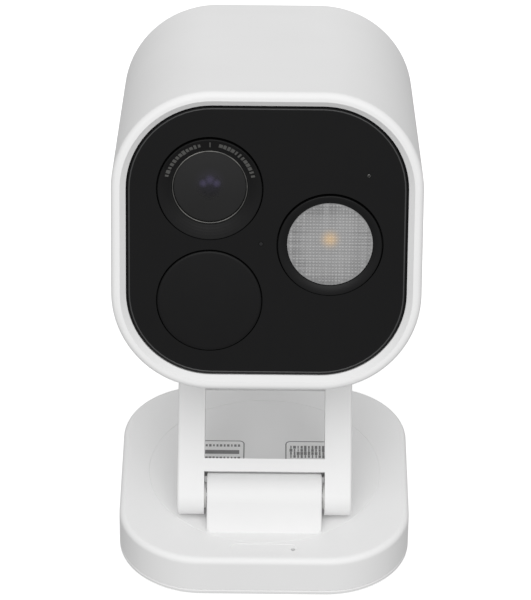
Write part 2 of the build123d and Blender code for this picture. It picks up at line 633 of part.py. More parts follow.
def chassis():
    """The inner frame: a front plate with the boards' posts, and two rails for the main board."""
    body = back(square(PANEL_SIZE, PANEL_CORNER), CHASSIS_FRONT, CHASSIS_BACK)
    holes = [(LENS_X, LENS_Z, BARREL_R + 4 * SLIP_GAP), (PIR_X, PIR_Z, WINDOW_R - LEDGE_WIDTH),
             (SPOT_X, SPOT_Z, SPOT_LENS_R), (MIC_X, MIC_Z, MIC_R + SLIP_GAP),
             (LIGHT_PIPE_X, LIGHT_PIPE_Z, LIGHT_PIPE_R + SLIP_GAP)]
    for x, z, radius in holes:
        body -= rod(radius, x, z, CHASSIS_FRONT, CHASSIS_BACK)
    head_r = CHASSIS_SCREW_R * HEAD_PER_SHANK + SLIP_GAP
    head_depth = CHASSIS_SCREW_R * HEAD_DEPTH_PER_SHANK + SLIP_GAP
    for x, z in corners(CHASSIS_SCREW_AT, CHASSIS_SCREW_AT):
        body -= rod(head_r, x, z, CHASSIS_FRONT, CHASSIS_FRONT + head_depth)
        body -= rod(CHASSIS_SCREW_R + SCREW_GAP, x, z, CHASSIS_FRONT, CHASSIS_BACK)
    for x, z, end in sensor_posts():
        body += rod(POST_R, x, z, CHASSIS_BACK, end)
    for x, z, end in sensor_posts():
        body -= rod(SMALL_SCREW_R + SCREW_GAP, x, z, end - SMALL_SCREW_LENGTH, end)
    for side in (-1, 1):
        outer, inner = side * RAIL_X, side * (RAIL_X - RAIL_WIDTH)
        body += block(min(outer, inner), max(outer, inner), CHASSIS_FRONT, COVER_FRONT,
                      RAIL_TOP - RAIL_HEIGHT, RAIL_TOP)
    for x, y in main_board_screw_places():
        hole = Pos(x, y) * Circle(SMALL_SCREW_R + SCREW_GAP)
        body -= up(hole, RAIL_TOP - RAIL_HEIGHT, RAIL_TOP)
    return HEAD_FRAME * body


def chassis_screws():
    seat = CHASSIS_FRONT + CHASSIS_SCREW_R * HEAD_DEPTH_PER_SHANK + SLIP_GAP
    places = [facing_front(x, seat, z) for x, z in corners(CHASSIS_SCREW_AT, CHASSIS_SCREW_AT)]
    return HEAD_FRAME * screws(CHASSIS_SCREW_R, CHASSIS_SCREW_LENGTH, places)


def knuckle_screw_places():
    spread = HEAD_KNUCKLE_R - HEAD_PER_SHANK * KNUCKLE_SCREW_R
    return [(x, RIM_FORWARD + y) for x, y in corners(KNUCKLE_SCREW_X, spread)]


def head_knuckle():
    """The hinge block under the tube."""
    underside = -HEAD_SIZE / 2
    axis_z = underside - HEAD_STANDOFF
    outline = Pos(RIM_FORWARD, axis_z) * Circle(HEAD_KNUCKLE_R)
    outline += Pos(RIM_FORWARD, (axis_z + underside) / 2) * Rectangle(2 * HEAD_KNUCKLE_R, HEAD_STANDOFF)
    body = across(outline, -KNUCKLE_WIDTH / 2, KNUCKLE_WIDTH / 2)
    ends = body.faces().filter_by(Axis.X)
    body = fillet([edge for face in ends for edge in face.edges()
                   if edge.center().Z < underside - SLIP_GAP], KNUCKLE_EDGE_ROUND)
    body -= across(Pos(RIM_FORWARD, axis_z) * Circle(PIN_R + RUN_GAP), -LINK_WIDTH, LINK_WIDTH)
    depth = KNUCKLE_SCREW_LENGTH - HEAD_WALL
    for x, y in knuckle_screw_places():
        body -= up(Pos(x, y) * Circle(KNUCKLE_SCREW_R + SCREW_GAP), underside - depth, underside)
    return HEAD_FRAME * body


def knuckle_screws():
    seat = HEAD_WALL - HEAD_SIZE / 2
    places = [Pos(x, y, seat) for x, y in knuckle_screw_places()]
    return HEAD_FRAME * screws(KNUCKLE_SCREW_R, KNUCKLE_SCREW_LENGTH, places)


# ---- head: lens ----

def lens_hood():
    """The dished ring that fills the lens window, sloping in to the trim ring."""
    bore = TRIM_RING_R + SLIP_GAP
    return HEAD_FRAME * turned([(WINDOW_FIT_R, PANEL_FRONT), (WINDOW_FIT_R - SEAM_BEVEL, PANEL_FRONT),
                                (bore, RING_FRONT), (bore, CHASSIS_FRONT), (FLANGE_R, CHASSIS_FRONT),
                                (FLANGE_R, FLANGE_FRONT), (WINDOW_FIT_R, FLANGE_FRONT)], LENS_X, LENS_Z)


def lens_trim_ring():
    """The bright metal ring round the cover glass."""
    inner = TRIM_RING_R - TRIM_RING_WALL
    front, rear = RING_FRONT - SEAM_BEVEL, RING_FRONT + TRIM_RING_LENGTH
    return HEAD_FRAME * turned([(TRIM_RING_R, RING_FRONT), (TRIM_RING_R - SEAM_BEVEL, front),
                                (inner + SEAM_BEVEL, front), (inner, RING_FRONT), (inner, rear),
                                (TRIM_RING_R, rear)], LENS_X, LENS_Z)


def lens_cover_glass():
    return HEAD_FRAME * rod(GLASS_R, LENS_X, LENS_Z, GLASS_FRONT, GLASS_FRONT + COVER_GLASS_THICKNESS)


def lens_barrel():
    """The black barrel: a funnel in front of the first element, and a threaded tail."""
    shoulder = BARREL_FRONT + BARREL_FRONT_LENGTH
    element_seat = BARREL_FRONT + BARREL_FRONT_LENGTH / 2
    end = BARREL_FRONT + BARREL_LENGTH
    bore = ELEMENT_R - SEAM_BEVEL
    return HEAD_FRAME * turned([(BARREL_R, BARREL_FRONT), (BARREL_R, shoulder), (BARREL_THREAD_R, shoulder),
                                (BARREL_THREAD_R, end), (bore, end), (bore, shoulder),
                                (ELEMENT_R + PRESS_GAP, shoulder), (ELEMENT_R + PRESS_GAP, element_seat),
                                (BARREL_R - HOLDER_WALL, BARREL_FRONT)], LENS_X, LENS_Z)


def lens_front_element():
    """The first glass element, bulging forwards."""
    seat = BARREL_FRONT + BARREL_FRONT_LENGTH / 2
    rear = BARREL_FRONT + BARREL_FRONT_LENGTH
    return HEAD_FRAME * (Pos(LENS_X, 0, LENS_Z) * crowned(ELEMENT_R, seat, rear, ELEMENT_R / 3))


def lens_holder():
    """The threaded mount that carries the barrel over the sensor."""
    tube_r = BARREL_THREAD_R + RUN_GAP
    base_front = SENSOR_BOARD_FRONT - HOLDER_BASE
    body = rod(tube_r + HOLDER_WALL, LENS_X, LENS_Z, HOLDER_FRONT, base_front)
    half = HOLDER_SIZE / 2
    body += block(LENS_X - half, LENS_X + half, base_front, SENSOR_BOARD_FRONT, LENS_Z - half, LENS_Z + half)
    body -= rod(tube_r, LENS_X, LENS_Z, HOLDER_FRONT, SENSOR_BOARD_FRONT)
    return HEAD_FRAME * body


def image_sensor():
    return HEAD_FRAME * block(LENS_X - SENSOR_WIDTH / 2, LENS_X + SENSOR_WIDTH / 2,
                              SENSOR_BOARD_FRONT - SENSOR_THICKNESS, SENSOR_BOARD_FRONT,
                              LENS_Z - SENSOR_HEIGHT / 2, LENS_Z + SENSOR_HEIGHT / 2)


def small_board(x, z, width, height, y0, screw_places):
    """A circuit board facing the front, with its screw holes."""
    body = back(Pos(x, z) * RectangleRounded(width, height, POST_R), y0, y0 + BOARD_THICKNESS)
    for hole_x, hole_z, _ in screw_places:
        body -= rod(SMALL_SCREW_R + SCREW_GAP, hole_x, hole_z, y0, y0 + BOARD_THICKNESS)
    return body


def sensor_board():
    return HEAD_FRAME * small_board(LENS_X, LENS_Z, SENSOR_BOARD_SIZE, SENSOR_BOARD_SIZE,
                                    SENSOR_BOARD_FRONT, sensor_posts()[:2])


def sensor_board_screws():
    places = [facing_back(x, end + BOARD_THICKNESS, z) for x, z, end in sensor_posts()[:2]]
    return HEAD_FRAME * screws(SMALL_SCREW_R, SMALL_SCREW_LENGTH, places)


# ---- head: motion sensor ----

def pir_window():
    """The thin, slightly crowned window of the motion sensor."""
    rear = CHASSIS_FRONT
    inner = WINDOW_FIT_R - PIR_SHELL
    body = crowned(WINDOW_FIT_R, PANEL_FRONT, PANEL_FRONT + PIR_SHELL, PIR_DOME)
    skirt_front = PANEL_FRONT + PIR_SHELL / 2
    skirt = revolve(make_face(Polyline((inner, skirt_front), (WINDOW_FIT_R, skirt_front),
                                       (WINDOW_FIT_R, FLANGE_FRONT), (FLANGE_R, FLANGE_FRONT),
                                       (FLANGE_R, rear), (inner, rear), close=True)), Axis.Y)
    return HEAD_FRAME * (Pos(PIR_X, 0, PIR_Z) * (body + skirt))


def pir_sensor():
    """The metal can of the motion sensor, standing on its board."""
    rear = PIR_BOARD_FRONT
    body = rod(PIR_CAN_R, PIR_X, PIR_Z, rear - PIR_CAN_LENGTH, rear)
    return HEAD_FRAME * (body + rod(PIR_CAN_R + POST_R / 4, PIR_X, PIR_Z, rear - PIR_SHELL / 2, rear))


def pir_board():
    return HEAD_FRAME * small_board(PIR_X, PIR_Z, PIR_BOARD_SIZE, PIR_BOARD_SIZE,
                                    PIR_BOARD_FRONT, sensor_posts()[2:4])


def pir_board_screws():
    places = [facing_back(x, end + BOARD_THICKNESS, z) for x, z, end in sensor_posts()[2:4]]
    return HEAD_FRAME * screws(SMALL_SCREW_R, SMALL_SCREW_LENGTH, places)


# ---- head: spotlight ----

def spotlight_bezel():
    """The dark ring round the lamp, sloping in to its lens."""
    bore = SPOT_LENS_R + SLIP_GAP
    lip = SPOT_LENS_R - 2 * SLIP_GAP
    return HEAD_FRAME * turned([(WINDOW_FIT_R, PANEL_FRONT), (WINDOW_FIT_R - SEAM_BEVEL * 2, PANEL_FRONT),
                                (lip, SPOT_LENS_FRONT - SLIP_GAP), (lip, SPOT_LENS_FRONT),
                                (bore, SPOT_LENS_FRONT), (bore, CHASSIS_FRONT), (FLANGE_R, CHASSIS_FRONT),
                                (FLANGE_R, FLANGE_FRONT), (WINDOW_FIT_R, FLANGE_FRONT)], SPOT_X, SPOT_Z)


def spotlight_lens():
    return HEAD_FRAME * rod(SPOT_LENS_R, SPOT_X, SPOT_Z, SPOT_LENS_FRONT, REFLECTOR_FRONT)


def spotlight_reflector():
    """The bright cone between the lens and the lamp."""
    mouth = SPOT_LENS_R - 2 * SLIP_GAP
    end = REFLECTOR_FRONT + REFLECTOR_LENGTH
    wall = REFLECTOR_WALL
    return HEAD_FRAME * turned([(mouth, REFLECTOR_FRONT), (mouth - wall, REFLECTOR_FRONT),
                                (REFLECTOR_THROAT_R, end), (REFLECTOR_THROAT_R + wall, end)], SPOT_X, SPOT_Z)


def spotlight_led():
    half = LED_SIZE / 2
    return HEAD_FRAME * block(SPOT_X - half, SPOT_X + half, LED_BOARD_FRONT - LED_HEIGHT, LED_BOARD_FRONT,
                              SPOT_Z - half, SPOT_Z + half)


def led_board():
    return HEAD_FRAME * small_board(SPOT_X, SPOT_Z, LED_BOARD_WIDTH, LED_BOARD_HEIGHT,
                                    LED_BOARD_FRONT, sensor_posts()[4:])


def heat_sink():
    """The finned block behind the lamp's board."""
    rear = SINK_FRONT + SINK_BASE
    body = back(Pos(SPOT_X, SPOT_Z) * RectangleRounded(LED_BOARD_WIDTH, LED_BOARD_HEIGHT, POST_R),
                SINK_FRONT, rear)
    inside = LED_BOARD_HEIGHT - 4 * POST_R * HEAD_PER_SHANK
    pitch = (LED_BOARD_WIDTH - FIN_THICKNESS) / (FIN_COUNT - 1)
    first = SPOT_X - (LED_BOARD_WIDTH - FIN_THICKNESS) / 2
    for number in range(FIN_COUNT):
        x = first + number * pitch
        body += block(x - FIN_THICKNESS / 2, x + FIN_THICKNESS / 2, SINK_FRONT, rear + FIN_LENGTH,
                      SPOT_Z - inside / 2, SPOT_Z + inside / 2)
    for x, z, _ in sensor_posts()[4:]:
        body -= rod(SMALL_SCREW_R + SCREW_GAP, x, z, SINK_FRONT, rear)
    return HEAD_FRAME * body


def heat_sink_screws():
    seat = SINK_FRONT + SINK_BASE
    places = [facing_back(x, seat, z) for x, z, _ in sensor_posts()[4:]]
    return HEAD_FRAME * screws(SMALL_SCREW_R, SMALL_SCREW_LENGTH, places)


# ---- head: small front pieces and electronics ----

def status_light_pipe():
    body = rod(LIGHT_PIPE_R, LIGHT_PIPE_X, LIGHT_PIPE_Z, PANEL_FRONT, CHASSIS_BACK + SLIP_GAP)
    return HEAD_FRAME * (body + rod(2 * LIGHT_PIPE_R, LIGHT_PIPE_X, LIGHT_PIPE_Z,
                                    PANEL_BACK + SLIP_GAP, CHASSIS_FRONT - SLIP_GAP))


def microphone():
    front = PANEL_BACK + SLIP_GAP
    return HEAD_FRAME * rod(MIC_R, MIC_X, MIC_Z, front, front + MIC_LENGTH)


def main_board_screw_places():
    middle = RAIL_X - RAIL_WIDTH / 2
    ends = (BOARD_REAR - MAIN_BOARD_LENGTH + RAIL_WIDTH / 2, BOARD_REAR - RAIL_WIDTH / 2)
    return [(x, y) for x in (middle, -middle) for y in ends]


def main_board():
    body = block(-RAIL_X, RAIL_X, BOARD_REAR - MAIN_BOARD_LENGTH, BOARD_REAR, RAIL_TOP, BOARD_TOP)
    for x, y in main_board_screw_places():
        body -= up(Pos(x, y) * Circle(SMALL_SCREW_R + SCREW_GAP), RAIL_TOP, BOARD_TOP)
    return HEAD_FRAME * body


def main_board_screws():
    places = [Pos(x, y, BOARD_TOP) for x, y in main_board_screw_places()]
    return HEAD_FRAME * screws(SMALL_SCREW_R, MAIN_BOARD_THICKNESS + RAIL_HEIGHT, places)


def shield_can():
    front = BOARD_REAR - MAIN_BOARD_LENGTH + RAIL_WIDTH
    return HEAD_FRAME * block(-SHIELD_WIDTH / 2, SHIELD_WIDTH / 2, front, front + SHIELD_DEPTH,
                              BOARD_TOP, BOARD_TOP + SHIELD_HEIGHT)


def card_socket():
    half = CARD_SOCKET_WIDTH / 2
    body = block(-half, half, BOARD_REAR - CARD_SOCKET_DEPTH, BOARD_REAR, BOARD_TOP,
                 BOARD_TOP + CARD_SOCKET_HEIGHT)
    slot = block(-CARD_WIDTH / 2, CARD_WIDTH / 2, BOARD_REAR - CARD_SOCKET_DEPTH + CARD_HEIGHT, BOARD_REAR,
                 CARD_Z - CARD_HEIGHT / 2, CARD_Z + CARD_HEIGHT / 2)
    return HEAD_FRAME * (body - slot)


def setup_switch():
    """The switch behind the setup button."""
    front = BOARD_REAR - SWITCH_DEPTH
    half = SWITCH_SIZE / 2
    body = block(BUTTON_X - half, BUTTON_X + half, front, BOARD_REAR, BOARD_TOP, BOARD_TOP + SWITCH_SIZE)
    return HEAD_FRAME * (body + rod(PLUNGER_R, BUTTON_X, BUTTON_Z, BOARD_REAR, BOARD_REAR + PLUNGER_LENGTH))


def wifi_antenna():
    top = CAVITY_SIZE / 2
    return HEAD_FRAME * block(-ANTENNA_LENGTH / 2, ANTENNA_LENGTH / 2, ANTENNA_BACK,
                              ANTENNA_BACK + ANTENNA_WIDTH, top - ANTENNA_THICKNESS, top)


# ---- head: rear cover and its pieces ----

def grille_places():
    """A middle hole and rings of six, twelve and so on."""
    places = [(0, SPEAKER_Z)]
    for number in range(1, GRILLE_RINGS + 1):
        count = 6 * number
        for step in range(count):
            angle = radians(360 / count * step)
            places.append((number * GRILLE_PITCH * cos(angle), SPEAKER_Z + number * GRILLE_PITCH * sin(angle)))
    return places


def rear_cover():
    """The inset plate that closes the tube, with the grille, socket, card slot and button hole."""
    size, corner = CAVITY_SIZE - 2 * SLIP_GAP, CAVITY_CORNER - SLIP_GAP
    body = back(square(size, corner), COVER_FRONT, COVER_BACK)
    body = chamfer(body.edges().group_by(Axis.Y)[-1], SEAM_BEVEL)
    holes = [Pos(x, z) * Circle(GRILLE_HOLE_R) for x, z in grille_places()]
    holes += [Pos(x, z) * Circle(COVER_SCREW_R + SCREW_GAP) for x, z in corners(COVER_SCREW_X, COVER_SCREW_Z)]
    holes.append(Pos(SOCKET_X, SOCKET_Z) * Circle(SOCKET_R + SLIP_GAP))
    holes.append(Pos(BUTTON_X, BUTTON_Z) * Circle(BUTTON_R + SLIP_GAP))
    holes.append(Pos(0, CARD_Z) * Rectangle(CARD_WIDTH + 4 * SLIP_GAP, CARD_HEIGHT + 4 * SLIP_GAP))
    for hole in holes:
        body -= back(hole, COVER_FRONT, COVER_BACK)
    head_r = COVER_SCREW_R * HEAD_PER_SHANK + SLIP_GAP
    for x, z in corners(COVER_SCREW_X, COVER_SCREW_Z):
        body -= rod(head_r, x, z, COVER_BACK - COVER_SCREW_R, COVER_BACK)
    return HEAD_FRAME * body


def rear_gasket():
    inside = CAVITY_SIZE - 2 * LEDGE_WIDTH + 2 * SLIP_GAP
    outline = (square(CAVITY_SIZE - 2 * SLIP_GAP, CAVITY_CORNER - SLIP_GAP)
               - square(inside, CAVITY_CORNER - LEDGE_WIDTH + SLIP_GAP))
    body = back(outline, SEAT_BACK, COVER_FRONT)
    for x, z in corners(COVER_SCREW_X, COVER_SCREW_Z):
        body -= rod(COVER_SCREW_R + SCREW_GAP, x, z, SEAT_BACK, COVER_FRONT)
    return HEAD_FRAME * body


def rear_screws():
    places = [facing_back(x, COVER_BACK - COVER_SCREW_R, z) for x, z in corners(COVER_SCREW_X, COVER_SCREW_Z)]
    return HEAD_FRAME * screws(COVER_SCREW_R, COVER_BOSS_LENGTH, places)


def speaker():
    """A round speaker: its frame behind the grille, and its magnet in front of that."""
    rear = COVER_FRONT - GASKET_THICKNESS
    body = rod(SPEAKER_R, 0, SPEAKER_Z, rear - SPEAKER_FRAME, rear)
    return HEAD_FRAME * (body + rod(SPEAKER_MAGNET_R, 0, SPEAKER_Z, rear - SPEAKER_DEPTH, rear - SPEAKER_FRAME))


def speaker_gasket():
    outline = Circle(SPEAKER_R) - Circle(SPEAKER_R - GASKET_WIDTH)
    return HEAD_FRAME * back(Pos(0, SPEAKER_Z) * outline, COVER_FRONT - GASKET_THICKNESS, COVER_FRONT)


def power_socket():
    """The round inlet: a flanged sleeve behind the cover, with its centre pin."""
    flange_back = COVER_FRONT - GASKET_THICKNESS
    floor = COVER_BACK - SOCKET_LENGTH + SOCKET_FLANGE
    body = turned([(0, COVER_BACK - SOCKET_LENGTH), (0, floor), (SOCKET_BORE_R, floor),
                   (SOCKET_BORE_R, COVER_BACK), (SOCKET_R, COVER_BACK), (SOCKET_R, flange_back),
                   (SOCKET_FLANGE_R, flange_back), (SOCKET_FLANGE_R, flange_back - SOCKET_FLANGE),
                   (SOCKET_R, flange_back - SOCKET_FLANGE), (SOCKET_R, COVER_BACK - SOCKET_LENGTH)],
                  SOCKET_X, SOCKET_Z)
    pin = rod(SOCKET_PIN_R, SOCKET_X, SOCKET_Z, floor, COVER_BACK - SOCKET_FLANGE)
    return HEAD_FRAME * (body + pin)


def socket_seal():
    outline = Circle(SOCKET_FLANGE_R) - Circle(SOCKET_R + SLIP_GAP)
    return HEAD_FRAME * back(Pos(SOCKET_X, SOCKET_Z) * outline, COVER_FRONT - GASKET_THICKNESS, COVER_FRONT)


def card_slot_plug():
    """The soft plug in the card slot, with a lip to pull it by."""
    stem = Pos(0, CARD_Z) * Rectangle(CARD_WIDTH, CARD_HEIGHT)
    lip = Pos(0, CARD_Z) * SlotOverall(CARD_WIDTH + 2 * PLUG_LIP, CARD_HEIGHT + 2 * PLUG_LIP)
    body = back(stem, BOARD_REAR + SLIP_GAP, COVER_BACK)
    return HEAD_FRAME * (body + back(lip, COVER_BACK, COVER_BACK + PLUG_LIP_THICKNESS))


def setup_button():
    """The button: a cap in the cover, with a flange inside that keeps it in."""
    flange_back = COVER_FRONT - 2 * SLIP_GAP
    body = rod(BUTTON_R, BUTTON_X, BUTTON_Z, flange_back, COVER_BACK + BUTTON_PROUD)
    body = chamfer(body.edges().group_by(Axis.Y)[-1], SEAM_BEVEL)
    flange = rod(BUTTON_FLANGE_R, BUTTON_X, BUTTON_Z, flange_back - BUTTON_FLANGE, flange_back)
    return HEAD_FRAME * (body + flange)


PIECES = {
    "base_cover": base_cover, "mounting_plate": mounting_plate, "foot_pad": foot_pad,
    "release_latch": release_latch, "swivel_washer": swivel_washer,
    "turntable": turntable, "turntable_retainer": turntable_retainer,
    "friction_washer": friction_washer, "retainer_screws": retainer_screws,
    "link_frame": link_frame,
    "lower_hinge_pin": lambda: hinge_pin(0), "upper_hinge_pin": lambda: hinge_pin(LINK_LENGTH),
    "lower_pin_caps": lambda: pin_caps(0), "upper_pin_caps": lambda: pin_caps(LINK_LENGTH),
    "lower_hinge_washers": lambda: hinge_washers(0),
    "upper_hinge_washers": lambda: hinge_washers(LINK_LENGTH),
    "housing_shell": housing_shell, "front_panel": front_panel, "front_gasket": front_gasket,
    "chassis": chassis, "chassis_screws": chassis_screws,
    "head_knuckle": head_knuckle, "knuckle_screws": knuckle_screws,
    "lens_hood": lens_hood, "lens_trim_ring": lens_trim_ring, "lens_cover_glass": lens_cover_glass,
    "lens_barrel": lens_barrel, "lens_front_element": lens_front_element, "lens_holder": lens_holder,
    "image_sensor": image_sensor, "sensor_board": sensor_board, "sensor_board_screws": sensor_board_screws,
    "pir_window": pir_window, "pir_sensor": pir_sensor, "pir_board": pir_board,
    "pir_board_screws": pir_board_screws,
    "spotlight_bezel": spotlight_bezel, "spotlight_lens": spotlight_lens,
    "spotlight_reflector": spotlight_reflector, "spotlight_led": spotlight_led,
    "led_board": led_board, "heat_sink": heat_sink, "heat_sink_screws": heat_sink_screws,
    "status_light_pipe": status_light_pipe, "microphone": microphone,
    "main_board": main_board, "main_board_screws": main_board_screws, "shield_can": shield_can,
    "card_socket": card_socket, "setup_switch": setup_switch, "wifi_antenna": wifi_antenna,
    "rear_cover": rear_cover, "rear_gasket": rear_gasket, "rear_screws": rear_screws,
    "speaker": speaker, "speaker_gasket": speaker_gasket,
    "power_socket": power_socket, "socket_seal": socket_seal,
    "card_slot_plug": card_slot_plug, "setup_button": setup_button,
}

os.makedirs("parts", exist_ok=True)
for name, make in PIECES.items():
    export_step(make(), f"parts/{name}.step")
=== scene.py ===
import json
import math

import bmesh
import bpy
from mathutils import Matrix, Vector


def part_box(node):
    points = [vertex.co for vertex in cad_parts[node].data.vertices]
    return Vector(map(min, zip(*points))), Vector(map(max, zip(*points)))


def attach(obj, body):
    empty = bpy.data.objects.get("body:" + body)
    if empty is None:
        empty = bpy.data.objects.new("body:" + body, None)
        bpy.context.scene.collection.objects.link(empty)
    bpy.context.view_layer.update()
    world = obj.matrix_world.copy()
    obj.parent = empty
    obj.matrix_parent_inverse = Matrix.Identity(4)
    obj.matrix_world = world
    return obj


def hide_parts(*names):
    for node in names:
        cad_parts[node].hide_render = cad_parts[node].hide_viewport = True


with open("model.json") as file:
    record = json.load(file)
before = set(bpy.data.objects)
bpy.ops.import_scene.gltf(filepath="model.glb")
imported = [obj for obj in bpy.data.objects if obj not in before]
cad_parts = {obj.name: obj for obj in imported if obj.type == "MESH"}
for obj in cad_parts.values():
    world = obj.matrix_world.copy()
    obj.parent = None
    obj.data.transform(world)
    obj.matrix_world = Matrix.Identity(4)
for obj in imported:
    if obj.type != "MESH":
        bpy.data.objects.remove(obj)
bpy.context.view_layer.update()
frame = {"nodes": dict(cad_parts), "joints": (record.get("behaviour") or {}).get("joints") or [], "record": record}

MM = 0.001
BUTTON_SLIDE = next(joint for joint in frame["joints"] if joint["name"] == "setup_button_press")
BACK = -Vector(BUTTON_SLIDE["axis"])
ACROSS = Vector((1, 0, 0))
UPWARD = ACROSS.cross(BACK)
HEAD_TURN = Matrix((ACROSS, BACK, UPWARD)).transposed()

# sizes in millimetres
PRISM_SETBACK = 0.5          # from the panel's face to the lamp's prisms
EDGE_INSET = 0.95            # from the radius of the window's flange in to a ring's visible edge
RING_SAG = 0.36              # how much lower a ring's visible edge sits, which widens its gap at the top
WINDOW_SAG = 0.18            # the same for the motion sensor's window
LEDGE_DEPTH = 0.9            # a ring's flange, front to back
INK_LIFT = 0.012             # a printed block's middle above the turntable


# ---- places, read from the frame ----

def head_box(node):
    """A node's lowest and highest corners in millimetres, along the tube's own axes."""
    places = [HEAD_TURN.transposed() @ vertex.co / MM for vertex in frame["nodes"][node].data.vertices]
    low = Vector([min(place[axis] for place in places) for axis in range(3)])
    high = Vector([max(place[axis] for place in places) for axis in range(3)])
    return low, high


def front_middle(node):
    """The middle of a node's front side, along the tube's own axes."""
    low, high = head_box(node)
    return Vector(((low.x + high.x) / 2, low.y, (low.z + high.z) / 2))


def half_width(node):
    low, high = head_box(node)
    return (high.x - low.x) / 2


def depth_of(node):
    """A node's depth along the tube."""
    low, high = head_box(node)
    return high.y - low.y


def on_head(place, angle):
    """From a piece's own millimetres to its place on the head, first turned about its x axis."""
    turn = Matrix.Rotation(angle, 4, "X")
    return HEAD_TURN.to_4x4() @ Matrix.Scale(MM, 4) @ Matrix.Translation(place) @ turn


def facing_front(place):
    """x points right, y up and z out of the panel."""
    return on_head(place, math.pi / 2)


def facing_rear(place):
    """z points out of the rear cover."""
    return on_head(place, -math.pi / 2)


def facing_up(place):
    return Matrix.Scale(MM, 4) @ Matrix.Translation(place)


# ---- node trees ----

class Value:
    """A socket that takes part in arithmetic: each operator adds one Math node."""

    def __init__(self, tree, socket):
        self.tree = tree
        self.socket = socket

    def maths(self, operation, *others):
        values = {number: value for number, value in enumerate((self, *others))}
        return self.tree.add("ShaderNodeMath", {"operation": operation}, values)

    def __add__(self, other):
        return self.maths("ADD", other)

    def __radd__(self, other):
        return self.maths("ADD", other)

    def __mul__(self, other):
        return self.maths("MULTIPLY", other)

    def __rmul__(self, other):
        return self.maths("MULTIPLY", other)

    def __sub__(self, other):
        return self.maths("SUBTRACT", other)

    def __rsub__(self, other):
        return self.tree.add("ShaderNodeMath", {"operation": "SUBTRACT"}, {0: other, 1: self})

    def __truediv__(self, other):
        return self.maths("DIVIDE", other)

    def __pow__(self, other):
        return self.maths("POWER", other)

    def below(self, limit):
        return self.maths("LESS_THAN", limit)

    def above(self, limit):
        return self.maths("GREATER_THAN", limit)


class Tree:
    """A node tree under construction."""

    def __init__(self, group):
        self.group = group

    def add(self, kind, settings=None, sockets=None, output=0):
        node = self.group.nodes.new(kind)
        for name, setting in (settings or {}).items():
            setattr(node, name, setting)
        for name, given in (sockets or {}).items():
            self.feed(node.inputs[name], given)
        return Value(self, node.outputs[output])

    def feed(self, socket, given):
        if isinstance(given, Value):
            self.group.links.new(given.socket, socket)
        else:
            socket.default_value = given


class Finish(Tree):
    """One material, with a single shader."""

    def __init__(self, name, **constants):
        self.material = bpy.data.materials.new(name)
        self.material.use_nodes = True
        super().__init__(self.material.node_tree)
        self.shader = self.group.nodes["Principled BSDF"]
        for socket, number in constants.items():
            self.shader.inputs[socket.replace("_", " ")].default_value = number
        self.place = self.add("ShaderNodeTexCoord", output="Object")

    def stretched(self, factors):
        """The place on the piece, stretched along its axes, for brushed and turned metal."""
        return self.add("ShaderNodeMapping", None, {"Vector": self.place, "Scale": factors})

    def noise(self, size_mm, detail=2.0, place=None):
        """A cloud from 0 to 1 whose patches are about size_mm wide."""
        return self.add("ShaderNodeTexNoise", None,
                        {"Vector": place or self.place, "Scale": 1 / (size_mm * MM), "Detail": detail})

    def blend(self, factor, first, second):
        """From the first colour to the second as factor goes from 0 to 1."""
        colours = {6: first if isinstance(first, Value) else (*first, 1),
                   7: second if isinstance(second, Value) else (*second, 1)}
        return self.add("ShaderNodeMix", {"data_type": "RGBA"}, {0: factor, **colours}, 2)

    def ramp(self, value, low, high):
        """0 below low, 1 above high, and smooth between."""
        return self.add("ShaderNodeMapRange", {"interpolation_type": "SMOOTHSTEP"},
                        {"Value": value, "From Min": low, "From Max": high})

    def reach(self, middle):
        """The distance in millimetres from a point given in metres."""
        apart = self.add("ShaderNodeVectorMath", {"operation": "DISTANCE"}, {0: self.place, 1: middle}, 1)
        return apart / MM

    def colour(self, value):
        self.feed(self.shader.inputs["Base Color"], value)

    def roughness(self, value):
        self.feed(self.shader.inputs["Roughness"], value)

    def relief(self, height, depth_mm):
        """Raise the surface by depth_mm where height is 1."""
        sockets = {"Height": height, "Distance": depth_mm * MM, "Strength": 1.0}
        bump = self.add("ShaderNodeBump", None, sockets)
        self.feed(self.shader.inputs["Normal"], bump)


# ---- finishes ----

def moulded(name, dark, light, shine, grain_mm=0.22, grain_depth=0.002, **constants):
    """Moulded plastic or rubber: cloudy colour, uneven shine and a fine grain."""
    finish = Finish(name, **constants)
    finish.colour(finish.blend(finish.noise(18), dark, light))
    finish.roughness(shine + finish.noise(7, 3) * 0.12)
    finish.relief(finish.noise(grain_mm, 1) + finish.noise(grain_mm * 9) * 0.6, grain_depth)
    return finish.material


def white_casing():
    """Satin white plastic: a fine spark-eroded grain, and a faint flow cloud in colour and shine."""
    finish = Finish("white_casing", Specular_IOR_Level=0.35)
    flow = finish.noise(34, 3)
    finish.colour(finish.blend(flow, (0.800, 0.800, 0.800), (0.845, 0.845, 0.845)))
    finish.roughness(0.46 + finish.noise(9, 3) * 0.14)
    finish.relief(finish.noise(0.16, 1) + finish.noise(0.7, 2) * 0.5, 0.0016)
    return finish.material


def panel_gloss():
    """Polished black acrylic with the lightest haze of wiping in its shine."""
    finish = Finish("panel_gloss", Specular_IOR_Level=0.19)
    finish.colour(finish.blend(finish.noise(26), (0.0036, 0.0036, 0.0039), (0.0048, 0.0048, 0.0051)))
    wiping = finish.noise(3.2, 4, finish.stretched((1, 1, 0.35)))
    finish.roughness(0.17 + wiping * 0.10)
    finish.relief(finish.noise(5, 1), 0.0015)
    return finish.material


